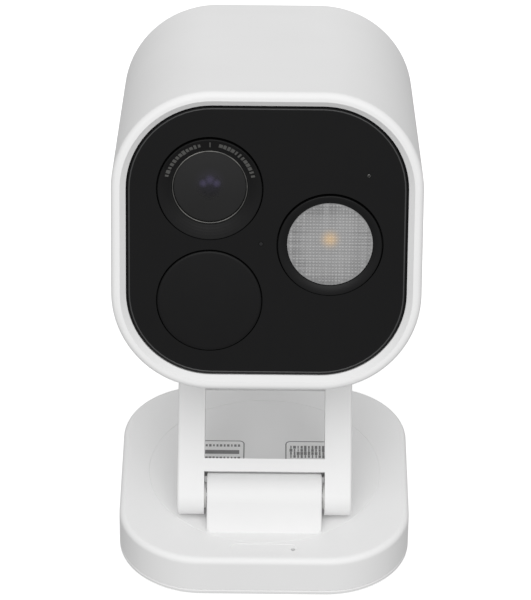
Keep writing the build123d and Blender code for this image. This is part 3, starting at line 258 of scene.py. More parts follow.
def hood_black():
    """Matt black with the faintest turned rings about the lens."""
    finish = Finish("hood_black", Specular_IOR_Level=0.16)
    middle = HEAD_TURN @ front_middle("lens_hood") * MM
    ring = (finish.reach(middle) * 9.0).maths("SINE")
    finish.colour(finish.blend(finish.noise(2.4, 3), (0.0038, 0.0038, 0.0040), (0.0054, 0.0054, 0.0057)))
    finish.roughness(0.46 + ring * 0.03 + finish.noise(0.8) * 0.08)
    finish.relief(ring * 0.5 + finish.noise(0.15, 1) * 0.5, 0.002)
    return finish.material


def turned_metal(name, dark, light, shine, node=None, metallic=1.0):
    """Metal with fine tool lines: rings about a node's middle, or a straight brushing."""
    finish = Finish(name, Metallic=metallic)
    if node:
        middle = HEAD_TURN @ front_middle(node) * MM
        lines = (finish.reach(middle) * 38.0).maths("SINE") * 0.5 + 0.5
    else:
        lines = finish.noise(0.5, 3, finish.stretched((1, 9, 9)))
    patches = finish.ramp(finish.noise(4.5, 3), 0.35, 0.72)
    finish.colour(finish.blend(patches, dark, light))
    finish.roughness(shine + lines * 0.10 + patches * 0.05)
    finish.relief(lines, 0.003)
    return finish.material


def painted_coating_reflection(finish, middle):
    """Painted reflection of the coating: three soft lobes and a halo, a little above a point on the lens's axis.
    """
    painted_reflection = (1 - finish.ramp(finish.reach(HEAD_TURN @ (middle + Vector((0, 0, 1.2))) * MM), 0.0, 4.6)) * 0.22
    # each lobe is a painted highlight, a light reflected in the coating
    for across, upward, size in ((0.0, 1.7, 2.1), (-1.6, 0.9, 1.7), (1.6, 0.9, 1.7)):
        spot = HEAD_TURN @ (middle + Vector((across, 0, upward))) * MM
        lobe = 1 - finish.ramp(finish.reach(spot), 0.0, size)
        painted_reflection = painted_reflection.maths("MAXIMUM", lobe)
    return painted_reflection


def cover_glass():
    """Coated glass: near-black, clearer in the middle, with a painted violet reflection of its coating in soft
    lobes, and a breath of haze.
    """
    finish = Finish("cover_glass", Specular_IOR_Level=0.30)
    middle = front_middle("lens_cover_glass")
    dark = finish.blend(finish.noise(7), (0.0098, 0.0098, 0.0100), (0.0116, 0.0116, 0.0118))
    # painted reflection: violet lobes of the coating over the dark glass
    finish.colour(finish.blend(painted_coating_reflection(finish, middle), dark, (0.054, 0.047, 0.088)))
    finish.roughness(0.16 + finish.noise(5, 2) * 0.06)
    clear = finish.ramp(finish.reach(HEAD_TURN @ middle * MM), 1.4, 3.8)
    finish.feed(finish.shader.inputs["Alpha"], 0.80 + clear * 0.20)
    return finish.material


def lens_glass():
    """The first element: near-black glass with painted violet and blue reflections of its coating in soft lobes.
    """
    finish = Finish("lens_glass", Specular_IOR_Level=0.6)
    # the violet of the painted coating reflection
    painted_violet = finish.blend(finish.noise(1.2), (0.30, 0.25, 0.60), (0.42, 0.36, 0.72))
    painted_reflection = painted_coating_reflection(finish, front_middle("lens_front_element"))
    # painted reflection: violet lobes over the near-black glass
    finish.colour(finish.blend(painted_reflection, (0.06, 0.055, 0.075), painted_violet))
    finish.roughness(0.16 + finish.noise(2.5) * 0.06)
    return finish.material


def pir_window_dark():
    """Soft black polyethylene, with faint rings of the facets that are moulded inside it."""
    finish = Finish("pir_window_dark", Specular_IOR_Level=0.15)
    middle = HEAD_TURN @ front_middle("pir_window") * MM
    rings = (finish.reach(middle) * 2.4).maths("SINE")
    finish.colour(finish.blend(finish.noise(5, 3), (0.0048, 0.0048, 0.0051), (0.0062, 0.0062, 0.0065)))
    finish.roughness(0.40 + rings * 0.015 + finish.noise(2.2, 3) * 0.06)
    finish.relief(rings * 0.3 + finish.noise(0.2, 1) * 0.5, 0.001)
    return finish.material


def spotlight_clear():
    """The prism sheet: pale grey with painted dark bands of shade where the prisms catch the cone, painted shade
    deepening them towards the rim, and a painted warm glow of the chip behind.
    """
    finish = Finish("spotlight_clear", Specular_IOR_Level=0.45, Coat_Weight=0.15, Coat_Roughness=0.2)
    chip_rise = 1.35
    centre = front_middle("spotlight_lens")
    reach = finish.reach(HEAD_TURN @ centre * MM)
    prism_front = head_box("front_panel")[0].y + PRISM_SETBACK
    chip_place = HEAD_TURN @ Vector((centre.x, prism_front, centre.z + chip_rise)) * MM
    # painted glow: a warm blob of the chip as seen through the sheet, painted into its colour
    painted_chip_glow = (1 - finish.ramp(finish.reach(chip_place), 0.0, 3.9)) ** 1.7
    # painted shade towards the rim of the sheet
    edge = finish.ramp(reach, 4.5, half_width("spotlight_lens"))
    # painted shade: dark stripes across and down, where the prisms catch the cone
    upright = finish.ramp(finish.noise(0.62, 2, finish.stretched((1, 0.02, 0.02))), 0.36, 0.64)
    level = finish.ramp(finish.noise(0.62, 2, finish.stretched((0.02, 0.02, 1))), 0.36, 0.64)
    painted_prism_shade = (upright + level) * 0.5
    pale = finish.blend(finish.noise(6, 2), (0.312, 0.313, 0.316), (0.350, 0.350, 0.350))
    prism_shaded = finish.blend(painted_prism_shade * (0.22 + edge * 0.5), pale, (0.150, 0.150, 0.152))
    # the painted glow of the chip over the grey with its painted shade
    finish.colour(finish.blend(painted_chip_glow, prism_shaded, (0.60, 0.435, 0.262)))
    finish.roughness(0.26 + finish.noise(0.9) * 0.10)
    finish.relief(finish.noise(0.3, 1), 0.002)
    return finish.material


def board_laminate():
    """Green solder mask with darker copper tracks under it."""
    finish = Finish("board_laminate", Coat_Weight=0.3, Coat_Roughness=0.25)
    tracks = finish.ramp(finish.noise(1.6, 0, finish.stretched((1, 0.12, 1))), 0.47, 0.53)
    finish.colour(finish.blend(tracks, (0.012, 0.085, 0.038), (0.03, 0.17, 0.085)))
    finish.roughness(0.35 + finish.noise(2, 3) * 0.1)
    finish.relief(tracks, 0.03)
    return finish.material


def led_phosphor():
    finish = Finish("led_phosphor")
    finish.colour(finish.blend(finish.noise(0.4), (0.80, 0.55, 0.14), (0.88, 0.66, 0.24)))
    finish.roughness(0.5 + finish.noise(0.3) * 0.2)
    finish.relief(finish.noise(0.12, 1), 0.01)
    return finish.material


def printed_ink(name, dark, light):
    """A thin printed mark, slightly uneven in its cover."""
    finish = Finish(name, Specular_IOR_Level=0.2)
    finish.colour(finish.blend(finish.noise(0.5, 3), dark, light))
    finish.roughness(0.5 + finish.noise(0.4) * 0.2)
    finish.relief(finish.noise(0.1, 1), 0.002)
    return finish.material


def all_finishes():
    return {
        "white_casing": white_casing(),
        "plate_plastic": moulded("plate_plastic", (0.77, 0.77, 0.77), (0.81, 0.81, 0.81), 0.48),
        "soft_pad": moulded("soft_pad", (0.45, 0.45, 0.455), (0.52, 0.52, 0.525), 0.72, 0.5, 0.012),
        "seal_rubber": moulded("seal_rubber", (0.016, 0.016, 0.017), (0.03, 0.03, 0.032), 0.66, 0.4, 0.008),
        "slip_plastic": moulded("slip_plastic", (0.78, 0.78, 0.765), (0.84, 0.84, 0.82), 0.30, 0.6, 0.003),
        "inner_plastic": moulded("inner_plastic", (0.022, 0.022, 0.024), (0.034, 0.034, 0.036),
                                 0.52, 0.3, 0.006),
        "screw_steel": turned_metal("screw_steel", (0.42, 0.42, 0.43), (0.62, 0.62, 0.63), 0.28),
        "pin_steel": turned_metal("pin_steel", (0.50, 0.50, 0.51), (0.66, 0.66, 0.67), 0.20),
        "panel_gloss": panel_gloss(),
        "hood_black": hood_black(),
        "trim_metal": turned_metal("trim_metal", (0.10, 0.10, 0.097), (0.21, 0.207, 0.198), 0.30,
                                   "lens_trim_ring"),
        "cover_glass": cover_glass(),
        "barrel_black": moulded("barrel_black", (0.008, 0.008, 0.009), (0.014, 0.014, 0.015),
                                0.55, 0.15, 0.004),
        "lens_glass": lens_glass(),
        "sensor_silicon": turned_metal("sensor_silicon", (0.05, 0.04, 0.09), (0.11, 0.09, 0.16), 0.12,
                                       metallic=0.6),
        "board_laminate": board_laminate(),
        "pir_window_dark": pir_window_dark(),
        "pir_can": turned_metal("pir_can", (0.52, 0.52, 0.50), (0.66, 0.66, 0.64), 0.24, "pir_sensor"),
        "bezel_black": moulded("bezel_black", (0.0050, 0.0050, 0.0052), (0.0066, 0.0066, 0.0070),
                               0.32, 0.3, 0.001, Specular_IOR_Level=0.15),
        "spotlight_clear": spotlight_clear(),
        "reflector_bright": turned_metal("reflector_bright", (0.76, 0.76, 0.77), (0.86, 0.86, 0.87), 0.06,
                                         "spotlight_reflector"),
        "led_phosphor": led_phosphor(),
        "sink_aluminium": turned_metal("sink_aluminium", (0.44, 0.44, 0.45), (0.58, 0.58, 0.59), 0.38),
        "light_pipe_clear": moulded("light_pipe_clear", (0.011, 0.011, 0.012), (0.015, 0.015, 0.016),
                                    0.25, 0.3, 0.001, Specular_IOR_Level=0.25),
        "module_metal": turned_metal("module_metal", (0.48, 0.48, 0.47), (0.62, 0.62, 0.61), 0.30),
        "module_black": moulded("module_black", (0.014, 0.014, 0.015), (0.024, 0.024, 0.026),
                                0.5, 0.25, 0.004),
    }


def dress_frame(finishes):
    """Give every node of the frame the finish of its material slot."""
    for part in frame["record"]["subparts"]:
        for slot in frame["nodes"][part["node"]].material_slots:
            slot.material = finishes[part["material_slot"]]


# ---- geometry trees ----

class Shape(Tree):
    """A Geometry Nodes tree with named sizes, made into one plain mesh."""

    def __init__(self, name, sizes):
        super().__init__(bpy.data.node_groups.new(name, "GeometryNodeTree"))
        self.name = name
        self.sizes = sizes
        self.group.interface.new_socket("Geometry", in_out="INPUT", socket_type="NodeSocketGeometry")
        for label, size in sizes.items():
            kind = "NodeSocketInt" if isinstance(size, int) else "NodeSocketFloat"
            self.group.interface.new_socket(label, in_out="INPUT", socket_type=kind)
        self.group.interface.new_socket("Geometry", in_out="OUTPUT", socket_type="NodeSocketGeometry")
        self.given = self.group.nodes.new("NodeGroupInput")

    def size(self, label):
        return Value(self, self.given.outputs[label])

    def vector(self, x=0.0, y=0.0, z=0.0):
        return self.add("ShaderNodeCombineXYZ", None, {0: x, 1: y, 2: z})

    def index(self):
        return self.add("GeometryNodeInputIndex")

    def axis(self, number):
        place = self.add("GeometryNodeInputPosition")
        return self.add("ShaderNodeSeparateXYZ", None, {0: place}, number)

    def block(self, x, y, z):
        return self.add("GeometryNodeMeshCube", None, {"Size": self.vector(x, y, z)})

    def moved(self, geometry, place):
        return self.add("GeometryNodeTransform", None, {"Geometry": geometry, "Translation": place})

    def repeated(self, points, piece, rotation=None, scale=None):
        sockets = {"Points": points, "Instance": piece}
        if rotation is not None:
            sockets["Rotation"] = rotation
        if scale is not None:
            sockets["Scale"] = scale
        return self.add("GeometryNodeInstanceOnPoints", None, sockets)

    def kept(self, points, wanted):
        """Only the points where wanted is 1."""
        return self.add("GeometryNodeDeleteGeometry", {"domain": "POINT"},
                        {"Geometry": points, "Selection": wanted.below(0.5)})

    def joined(self, *geometries):
        join = self.group.nodes.new("GeometryNodeJoinGeometry")
        for geometry in geometries:
            self.group.links.new(geometry.socket, join.inputs[0])
        return Value(self, join.outputs[0])

    def made(self, geometry, finish, place):
        """Realize the shape, turn it into a mesh and put it in its place."""
        real = self.add("GeometryNodeRealizeInstances", None, {0: geometry})
        dressed = self.add("GeometryNodeSetMaterial", None, {"Geometry": real, "Material": finish})
        output = self.group.nodes.new("NodeGroupOutput")
        self.group.links.new(dressed.socket, output.inputs[0])
        piece = bpy.data.objects.new(self.name, bpy.data.meshes.new(self.name))
        bpy.context.scene.collection.objects.link(piece)
        grown = piece.modifiers.new("shape", "NODES")
        grown.node_group = self.group
        for item in self.group.interface.items_tree:
            if item.in_out == "INPUT" and item.name in self.sizes:
                grown[item.identifier] = self.sizes[item.name]
        bpy.context.view_layer.update()
        mesh = bpy.data.meshes.new_from_object(piece.evaluated_get(bpy.context.evaluated_depsgraph_get()))
        piece.modifiers.clear()
        piece.data = mesh
        mesh.name = self.name
        mesh.transform(place)
        return piece


# ---- pieces made in mesh code ----

def turned(name, outline, place, finish, segments=160, smooth_degrees=35, sunk=0.0, rim=math.inf, shelf=0.0):
    """A closed outline of (radius, height) in millimetres, turned about its own z axis.

    Points beyond the rim radius and above the shelf sit sunk millimetres lower, off the centre.
    """
    mesh = bpy.data.meshes.new(name)
    rings = []
    for step in range(segments):
        angle = 2 * math.pi * step / segments
        for radius, height in outline:
            lower = sunk if radius > rim and height > shelf else 0.0
            rings.append((radius * math.cos(angle), radius * math.sin(angle) - lower, height))
    count = len(outline)
    faces = []
    for step in range(segments):
        here, there = step * count, (step + 1) % segments * count
        for number in range(count):
            following = (number + 1) % count
            faces.append((here + number, there + number, there + following, here + following))
    mesh.from_pydata(rings, [], faces)
    work = bmesh.new()
    work.from_mesh(mesh)
    bmesh.ops.remove_doubles(work, verts=work.verts, dist=0.0005)
    bmesh.ops.recalc_face_normals(work, faces=work.faces)
    work.to_mesh(mesh)
    work.free()
    mesh.shade_smooth()
    mesh.set_sharp_from_angle(angle=math.radians(smooth_degrees))
    mesh.transform(place)
    mesh.materials.append(finish)
    piece = bpy.data.objects.new(name, mesh)
    bpy.context.scene.collection.objects.link(piece)
    return piece


def rounded(middle, radius, start, end, steps=5):
    """Points of an arc in an outline, from one angle to another in degrees."""
    angles = [math.radians(start + (end - start) * step / steps) for step in range(steps + 1)]
    return [(middle[0] + radius * math.cos(angle), middle[1] + radius * math.sin(angle)) for angle in angles]


def lens_hood(finish):
    """The dished ring: a gap round it that widens towards the top, then the slope in to the trim ring."""
    flange, depth = half_width("lens_hood"), depth_of("lens_hood")
    edge = half_width("pir_window") - EDGE_INSET
    bore = half_width("lens_trim_ring") + 0.08
    ledge = LEDGE_DEPTH - depth
    outline = rounded((edge - 0.3, -0.42), 0.3, 0, 90)
    outline += [(bore + 0.5, -1.42), (bore + 0.2, -1.5), (bore, -1.5), (bore, -depth), (flange, -depth)]
    outline += [(flange, ledge), (edge, ledge)]
    return turned("lens_hood_ring", outline, facing_front(front_middle("lens_hood")), finish,
                  sunk=RING_SAG, rim=edge - 0.4, shelf=ledge - 0.1)


def lens_trim(finish):
    """The thin metal ring: a fine rolled crest, and behind it the ledge that the cover glass rests on."""
    outer, depth = half_width("lens_trim_ring"), depth_of("lens_trim_ring")
    seat = head_box("lens_cover_glass")[1].y - head_box("lens_trim_ring")[0].y
    crest = outer - 0.4
    outline = rounded((outer - 0.2, -0.2), 0.2, 0, 180, 8)
    outline += [(crest, -seat), (outer - 0.85, -seat), (outer - 0.85, -depth), (outer, -depth)]
    return turned("lens_trim", outline, facing_front(front_middle("lens_trim_ring")), finish)


def lens_barrel(finish):
    """The barrel: anti-glare steps down to the first element's seat, then the threaded tail."""
    outer, depth = half_width("lens_barrel"), depth_of("lens_barrel")
    seat, steps = 3.3, 6
    shoulder = 2 * seat
    mouth, throat = outer - 0.9, half_width("lens_front_element") + 0.06
    tail, bore, threads = 5.5, throat - 0.3, 11
    outline = [(outer, -shoulder)] + rounded((outer - 0.3, -0.3), 0.3, 0, 90, 3)
    for step in range(steps):
        radius = mouth + (throat - mouth) * step / steps
        following = mouth + (throat - mouth) * (step + 1) / steps
        floor = -seat * (step + 1) / steps
        outline += [(radius, -seat * step / steps), (radius - 0.1, floor), (following, floor)]
    outline += [(throat, -shoulder), (bore, -shoulder), (bore, -depth)]
    pitch = (depth - shoulder) / threads
    for thread in range(threads):
        base = thread * pitch - depth
        root = tail - 0.2
        outline += [(root, base + 0.1 * pitch), (tail, base + 0.5 * pitch), (root, base + 0.9 * pitch)]
    return turned("lens_barrel_steps", outline, facing_front(front_middle("lens_barrel")), finish)


def front_element(finish):
    """The first glass element: a true dome with a ground edge."""
    radius, depth = half_width("lens_front_element"), depth_of("lens_front_element")
    dome = radius / 3
    sphere = (radius ** 2 + dome ** 2) / (2 * dome)
    reach = math.degrees(math.asin(radius / sphere))
    crown = rounded((0, -sphere), sphere, 90 - reach, 90, 16)
    outline = [(0, -depth), (radius - 0.15, -depth), (radius, 0.15 - depth)] + crown
    return turned("front_element", outline, facing_front(front_middle("lens_front_element")), finish, 96)


def cover_disc(finish):
    """The cover glass, with a softened edge, filling the ring to its crest."""
    radius, depth = half_width("lens_trim_ring") - 0.42, depth_of("lens_cover_glass")
    outline = [(0, -depth), (radius, -depth)] + rounded((radius - 0.12, -0.12), 0.12, 0, 90, 4) + [(0, 0)]
    return turned("cover_disc", outline, facing_front(front_middle("lens_cover_glass")), finish)


def motion_window(finish):
    """The motion sensor's window: a shallow dome with a skirt behind it, a hair's gap from the panel."""
    flange, depth = half_width("pir_window"), depth_of("pir_window")
    edge, dome, ledge = flange - 0.93, 0.4, 1.3 - depth
    sphere = (edge ** 2 + dome ** 2) / (2 * dome)
    reach = math.degrees(math.asin((edge - 0.2) / sphere))
    crown = rounded((0, -sphere), sphere, 90, 90 - reach, 24)
    outline = [(0, -1.4)] + crown + rounded((edge - 0.25, -dome - 0.25), 0.25, 70, 0, 4)
    outline += [(edge, ledge), (flange, ledge), (flange, -depth), (edge - 1.2, -depth), (edge - 1.2, -1.4)]
    return turned("motion_window", outline, facing_front(front_middle("pir_window")), finish,
                  sunk=WINDOW_SAG, rim=edge - 0.6, shelf=ledge - 0.1)


def spotlight_bezel(finish):
    """The lamp's ring: a gap that widens towards the top, a land, and a wall down to the prism sheet."""
    flange, depth = half_width("spotlight_bezel"), depth_of("spotlight_bezel")
    edge = half_width("pir_window") - EDGE_INSET
    lens = half_width("spotlight_lens")
    ledge = LEDGE_DEPTH - depth
    outline = rounded((edge - 0.3, -0.4), 0.3, 0, 90)
    outline += [(lens + 0.34, -0.34)] + rounded((lens + 0.3, -0.54), 0.2, 80, 180, 4)
    outline += [(lens + 0.1, -depth), (flange, -depth), (flange, ledge), (edge, ledge)]
    return turned("spotlight_ring", outline, facing_front(front_middle("spotlight_bezel")), finish,
                  sunk=RING_SAG, rim=edge - 0.4, shelf=ledge - 0.1)


def swivel_seal(finish):
    """The soft lip in the fine gap round the turntable."""
    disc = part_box("turntable")[1].x / MM
    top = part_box("base_cover")[1].z / MM
    inner, outer, lip = disc - 0.06, disc + 0.2, 0.08
    outline = [(inner, -lip), (outer, -lip), (outer, -0.5), (inner, -0.5)]
    return turned("swivel_seal", outline, facing_up((0, 0, top)), finish, segments=240)


# ---- pieces grown from a rule ----

def spotlight_prisms(finish):
    """The prism sheet: a disc whose face is covered with a square grid of low pyramids."""
    back = head_box("spotlight_lens")[1].y
    face = front_middle("spotlight_lens")
    face.y = head_box("front_panel")[0].y + PRISM_SETBACK
    shape = Shape("spotlight_prism_sheet", {
        "Radius": half_width("spotlight_lens"), "Thickness": back - face.y, "Pitch": 0.84,
        "Prism Height": 0.11, "Rows": 27})
    sheet, pitch, rise = shape.size("Radius"), shape.size("Pitch"), shape.size("Prism Height")
    rows = shape.size("Rows")
    body = shape.add("GeometryNodeMeshCylinder", None, {
        "Vertices": 128, "Radius": sheet, "Depth": shape.size("Thickness") - rise})
    body = shape.moved(body, shape.vector(z=(shape.size("Thickness") + rise) * -0.5))
    span = (rows - 1) * pitch
    grid = shape.add("GeometryNodeMeshGrid", None, {
        "Size X": span, "Size Y": span, "Vertices X": rows, "Vertices Y": rows})
    away = (shape.axis(0) ** 2 + shape.axis(1) ** 2).maths("SQRT")
    points = shape.kept(grid, (away + pitch * 0.6).below(sheet))
    prism = shape.add("GeometryNodeMeshCone", None, {
        "Vertices": 4, "Radius Top": pitch * 0.16, "Radius Bottom": pitch * 0.66, "Depth": rise})
    prism = shape.add("GeometryNodeTransform", None, {
        "Geometry": prism, "Rotation": (0, 0, math.pi / 4), "Translation": shape.vector(z=rise * -1)})
    return shape.made(shape.joined(body, shape.repeated(points, prism)), finish, facing_front(face))


def hood_marks(finish):
    """Two arcs of plain graduation marks and a middle line, printed on the hood's slope."""
    sizes = {"Marks": 12, "Radius": 11.45, "From": 14.0, "To": 74.0, "Width": 0.98, "Length": 1.4,
             "Thickness": 0.05, "Slope": math.atan(1.3 / 3.0), "Height": -0.72}
    shape = Shape("hood_marks", sizes)
    marks, radius, slope = shape.size("Marks"), shape.size("Radius"), shape.size("Slope")
    start, end = shape.size("From"), shape.size("To")
    arcs = []
    for side in (-1, 1):
        line = shape.add("GeometryNodeMeshLine", None, {"Count": marks})
        turn = (start + (end - start) * shape.index() / (marks - 1)) * (side * math.pi / 180)
        spot = shape.vector(turn.maths("SINE") * radius, turn.maths("COSINE") * radius, shape.size("Height"))
        line = shape.add("GeometryNodeSetPosition", None, {"Geometry": line, "Position": spot})
        mark = shape.block(shape.size("Width"), shape.size("Length"), shape.size("Thickness"))
        scale = shape.add("FunctionNodeRandomValue", {"data_type": "FLOAT_VECTOR"}, {
            0: (0.5, 0.6, 1.0), 1: (1.05, 1.0, 1.0), "ID": shape.index(), "Seed": 11 + side})
        arcs.append(shape.repeated(line, mark, shape.vector(slope, 0.0, turn * -1), scale))
    middle = shape.block(0.3, shape.size("Length") * 1.1, shape.size("Thickness"))
    middle = shape.add("GeometryNodeTransform", None, {
        "Geometry": middle, "Rotation": shape.vector(slope),
        "Translation": shape.vector(0.0, radius, shape.size("Height"))})
    return shape.made(shape.joined(*arcs, middle), finish, facing_front(front_middle("lens_hood")))


def loop_line(shape, width, height, corner, thickness, depth):
    """A fine line that runs round a rectangle with rounded corners."""
    path = shape.add("GeometryNodeCurvePrimitiveQuadrilateral", None, {
        "Width": width, "Height": height})
    path = shape.add("GeometryNodeFilletCurve", {"mode": "POLY"}, {
        "Curve": path, "Count": 14, "Radius": corner})
    profile = shape.add("GeometryNodeCurvePrimitiveQuadrilateral", None, {
        "Width": thickness, "Height": depth})
    return shape.add("GeometryNodeCurveToMesh", None, {"Curve": path, "Profile Curve": profile})


def panel_edge_line(finish):
    """A fine raised bead round the panel just inside its edge, whose lighter grey is a painted highlight of the
    chamfer.
    """
    low, high = head_box("front_panel")
    side = high.x - low.x
    inset, panel_corner = 1.55, 22.1
    shape = Shape("panel_edge_line", {
        "Side": side - inset, "Corner": panel_corner - inset / 2, "Thickness": 0.32, "Depth": 0.09})
    line = loop_line(shape, shape.size("Side"), shape.size("Side"), shape.size("Corner"),
                     shape.size("Thickness"), shape.size("Depth"))
    return shape.made(line, finish, facing_front(front_middle("front_panel")))


def marking_plate(name, left, width, bars, finish):
    """A plain printed block on the turntable: a thin rounded frame round rows of bars."""
    disc_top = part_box("base_cover")[1].z / MM
    shape = Shape(name, {
        "Width": width, "Height": 11.0, "Corner": 1.3, "Line": 0.3, "Depth": 0.03, "Blocks": 13,
        "Block Width": 0.62, "Block Height": 0.95, "Pitch": 1.0})
    depth, blocks, pitch = shape.size("Depth"), shape.size("Blocks"), shape.size("Pitch")
    frame_line = loop_line(shape, shape.size("Width"), shape.size("Height"), shape.size("Corner"),
                           shape.size("Line"), depth)
    parts = [frame_line]
    for row, (height, thickness, solid) in enumerate(bars):
        centre = shape.vector(0.0, height)
        if solid:
            parts.append(shape.moved(shape.block(shape.size("Width") - 2.6, thickness, depth), centre))
            continue
        start = shape.vector((blocks - 1) * pitch * -0.5, height)
        line = shape.add("GeometryNodeMeshLine", None, {
            "Count": blocks, "Start Location": start, "Offset": shape.vector(pitch)})
        block = shape.block(shape.size("Block Width"), shape.size("Block Height") * thickness, depth)
        scale = shape.add("FunctionNodeRandomValue", {"data_type": "FLOAT_VECTOR"}, {
            0: (0.45, 0.8, 1.0), 1: (1.3, 1.0, 1.0), "ID": shape.index(), "Seed": 5 + row})
        parts.append(shape.repeated(line, block, scale=scale))
    place = facing_up((left + width / 2, 7.4, disc_top + INK_LIFT))
    return shape.made(shape.joined(*parts), finish, place)


def pad_with_studs(finish):
    """The soft pad: a sheet in the plate's recess, standing on rows of small round studs."""
    low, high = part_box("foot_pad")
    width, depth = (high.x - low.x) / MM, (high.z - low.z) / MM
    plate_corner, hole, spacing = 20.2, 3.2, 50.0
    shape = Shape("studded_pad", {
        "Width": width, "Thickness": depth, "Stud Height": 0.28, "Stud Radius": 0.95, "Pitch": 2.9,
        "Rows": 26, "Corner": plate_corner, "Hole": hole, "Spacing": spacing})
    rise, pitch, rows = shape.size("Stud Height"), shape.size("Pitch"), shape.size("Rows")
    outline = shape.add("GeometryNodeCurvePrimitiveQuadrilateral", None, {
        "Width": shape.size("Width"), "Height": shape.size("Width")})
    outline = shape.add("GeometryNodeFilletCurve", {"mode": "POLY"}, {
        "Curve": outline, "Count": 16, "Radius": shape.size("Corner")})
    rings = [outline]
    for x, y in ((1, 1), (-1, 1), (-1, -1), (1, -1)):
        ring = shape.add("GeometryNodeCurvePrimitiveCircle", None, {
            "Resolution": 40, "Radius": shape.size("Hole")})
        half = shape.size("Spacing") * 0.5
        rings.append(shape.moved(ring, shape.vector(half * x, half * y)))
    sheet = shape.add("GeometryNodeFillCurve", {"mode": "TRIANGLES"}, {"Curve": shape.joined(*rings)})
    thick = shape.size("Thickness") - rise
    grown = shape.add("GeometryNodeExtrudeMesh", {"mode": "FACES"}, {
        "Mesh": sheet, "Offset": shape.vector(z=1.0), "Offset Scale": thick, "Individual": False})
    under = shape.add("GeometryNodeFlipFaces", None, {"Mesh": sheet})
    body = shape.moved(shape.joined(grown, under), shape.vector(z=rise))
    body = shape.add("GeometryNodeMergeByDistance", None, {"Geometry": body, "Distance": 0.001})
    span = (rows - 1) * pitch
    grid = shape.add("GeometryNodeMeshGrid", None, {
        "Size X": span, "Size Y": span, "Vertices X": rows, "Vertices Y": rows})
    across, along = shape.axis(0).maths("ABSOLUTE"), shape.axis(1).maths("ABSOLUTE")
    straight = shape.size("Width") * 0.5 - shape.size("Corner")
    outside = ((across - straight).maths("MAXIMUM", 0.0) ** 2 + (along - straight).maths("MAXIMUM", 0.0) ** 2)
    inside = outside.maths("SQRT").below(shape.size("Corner") - shape.size("Stud Radius") * 1.3)
    half = shape.size("Spacing") * 0.5
    from_hole = ((across - half) ** 2 + (along - half) ** 2).maths("SQRT")
    clear = from_hole.above(shape.size("Hole") + shape.size("Stud Radius") * 1.3)
    stud = shape.add("GeometryNodeMeshCone", None, {
        "Vertices": 14, "Radius Top": shape.size("Stud Radius"),
        "Radius Bottom": shape.size("Stud Radius") * 0.82, "Depth": rise * 1.1})
    studs = shape.repeated(shape.kept(grid, inside * clear), stud)
    return shape.made(shape.joined(body, studs), finish, facing_up((0, 0, low.z / MM)))


def speaker_mesh(finish):
    """The fine crossed wires behind the grille that keep dust off the speaker."""
    low, high = head_box("speaker_gasket")
    frame_width, inward = 2.1, 0.25
    radius = (high.x - low.x) / 2 - frame_width
    cover_inside = head_box("rear_cover")[0].y
    place = Vector(((low.x + high.x) / 2, cover_inside - inward, (low.z + high.z) / 2))
    shape = Shape("speaker_dust_mesh", {"Radius": radius, "Wires": 47, "Wire Radius": 0.06})
    wires, reach = shape.size("Wires"), shape.size("Radius")
    layers = []
    for turn in (0.0, math.pi / 2):
        pitch = reach * 2 / (wires + 1)
        line = shape.add("GeometryNodeMeshLine", None, {
            "Count": wires, "Start Location": shape.vector(pitch - reach), "Offset": shape.vector(pitch)})
        wire = shape.add("GeometryNodeMeshCylinder", None, {
            "Vertices": 6, "Radius": shape.size("Wire Radius"), "Depth": 1.0})
        chord = (reach * reach - shape.axis(0) ** 2).maths("SQRT") * 2
        layer = shape.repeated(line, wire, (math.pi / 2, 0.0, 0.0), shape.vector(1.0, 1.0, chord))
        lift = shape.size("Wire Radius") * (2.0 if turn else 0.0)
        layers.append(shape.add("GeometryNodeTransform", None, {
            "Geometry": layer, "Rotation": (0.0, 0.0, turn), "Translation": shape.vector(z=lift)}))
    return shape.made(shape.joined(*layers), finish, facing_rear(place))


# ---- everything in place ----

def set_in_place(piece, body):
    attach(piece, body)


def add_pieces(finishes):
    """Make each piece with its finish, hide the node it takes the place of where there is one, and attach it to
    the body it rides on.
    """
    mark_grey = printed_ink("mark_grey", (0.055, 0.055, 0.053), (0.115, 0.115, 0.11))
    print_grey = printed_ink("print_grey", (0.19, 0.19, 0.192), (0.27, 0.27, 0.273))
    # painted highlight: the bead is a lighter grey than the panel so it shows as the chamfer's highlight
    edge_gloss = moulded("edge_gloss", (0.040, 0.040, 0.041), (0.062, 0.062, 0.063), 0.22,
                         Specular_IOR_Level=0.3)

    for make, node, slot in (
            (lens_hood, "lens_hood", "hood_black"),
            (lens_trim, "lens_trim_ring", "trim_metal"),
            (lens_barrel, "lens_barrel", "barrel_black"),
            (front_element, "lens_front_element", "lens_glass"),
            (cover_disc, "lens_cover_glass", "cover_glass"),
            (motion_window, "pir_window", "pir_window_dark"),
            (spotlight_bezel, "spotlight_bezel", "bezel_black"),
            (spotlight_prisms, "spotlight_lens", "spotlight_clear")):
        piece = make(finishes[slot])
        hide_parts(node)
        set_in_place(piece, "head")

    set_in_place(hood_marks(mark_grey), "head")
    set_in_place(panel_edge_line(edge_gloss), "head")
    set_in_place(speaker_mesh(finishes["module_metal"]), "head")

    # each row of a block: height, thickness, solid bar or separate blocks
    left_bars = ((3.4, 1.1, False), (0.45, 1.7, True), (-2.2, 1.1, False), (-4.0, 0.7, True))
    right_bars = ((2.9, 1.5, False), (1.5, 1.4, False), (0.1, 1.5, False), (-1.3, 1.4, False),
                  (-3.6, 0.7, True))
    for name, left, bars in (("left_marking", -20.6, left_bars), ("right_marking", 5.9, right_bars)):
        set_in_place(marking_plate(name, left, 14.8, bars, print_grey), "turntable")

    set_in_place(swivel_seal(finishes["white_casing"]), "base")

    pad = pad_with_studs(finishes["soft_pad"])
    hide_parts("foot_pad")
    set_in_place(pad, "base")


# ---- view, light and floor ----

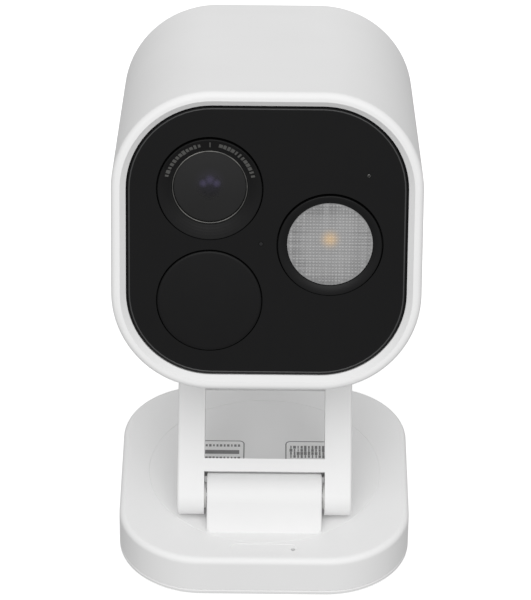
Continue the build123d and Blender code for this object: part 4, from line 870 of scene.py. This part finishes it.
def set_camera():
    lens_height = 0.6324
    camera = bpy.data.objects.new("view", bpy.data.cameras.new("view"))
    camera.data.lens = 218.4
    camera.data.sensor_width = 36.0
    camera.data.clip_end = 20.0
    downward, roll = 35.3, math.radians(0.56)
    tip = math.radians(90 - downward)
    camera.matrix_world = (Matrix.Translation((-0.0002, -0.7947, lens_height))
                           @ Matrix.Rotation(tip, 4, "X") @ Matrix.Rotation(roll, 4, "Z"))
    bpy.context.scene.collection.objects.link(camera)
    bpy.context.scene.camera = camera


def set_light():
    """A soft surround, dimmer below and to the sides, and one very wide light from above the front."""
    world = bpy.data.worlds.new("studio")
    bpy.context.scene.world = world
    world.use_nodes = True
    sky = Tree(world.node_tree)
    surround = world.node_tree.nodes["Background"]
    direction = sky.add("ShaderNodeTexCoord", output="Generated")
    sideways = sky.add("ShaderNodeSeparateXYZ", None, {0: direction}, 0)
    behind = sky.add("ShaderNodeSeparateXYZ", None, {0: direction}, 1).maths("MAXIMUM", 0.0)
    upward = sky.add("ShaderNodeSeparateXYZ", None, {0: direction}, 2)
    lowness = sky.add("ShaderNodeMapRange", {"interpolation_type": "SMOOTHSTEP"},
                      {"Value": upward, "From Min": 0.15, "From Max": -0.15})
    falloff = 1.0 - sideways * sideways * 0.5
    surround.inputs["Color"].default_value = (1, 1, 1, 1)
    sky.feed(surround.inputs["Strength"], (0.745 - lowness * 0.23) * falloff + behind * 0.12)
    lamp = bpy.data.lights.new("front_softbox", "SUN")
    lamp.energy = 1.5
    lamp.angle = math.radians(55)
    elevation = math.radians(45)
    towards_lamp = Vector((0, -math.cos(elevation), math.sin(elevation)))
    softbox = bpy.data.objects.new("front_softbox", lamp)
    softbox.matrix_world = towards_lamp.to_track_quat("Z", "Y").to_matrix().to_4x4()
    bpy.context.scene.collection.objects.link(softbox)
    bpy.context.scene.view_settings.view_transform = "Standard"


def add_floor():
    half = 3.0
    mesh = bpy.data.meshes.new("floor")
    corners = [(-half, -half, 0), (half, -half, 0), (half, half, 0), (-half, half, 0)]
    mesh.from_pydata(corners, [], [(0, 1, 2, 3)])
    floor = bpy.data.objects.new("floor", mesh)
    bpy.context.scene.collection.objects.link(floor)
    paper = Finish("floor_paper", Roughness=0.9, Specular_IOR_Level=0.1, Emission_Strength=0.40)
    paper.colour(paper.blend(paper.noise(60), (0.94, 0.94, 0.94), (0.955, 0.955, 0.955)))
    paper.shader.inputs["Emission Color"].default_value = (1, 1, 1, 1)
    mesh.materials.append(paper.material)
    floor.visible_diffuse = False
    floor.visible_glossy = False


set_camera()
set_light()
add_floor()
finishes = all_finishes()
dress_frame(finishes)
add_pieces(finishes)
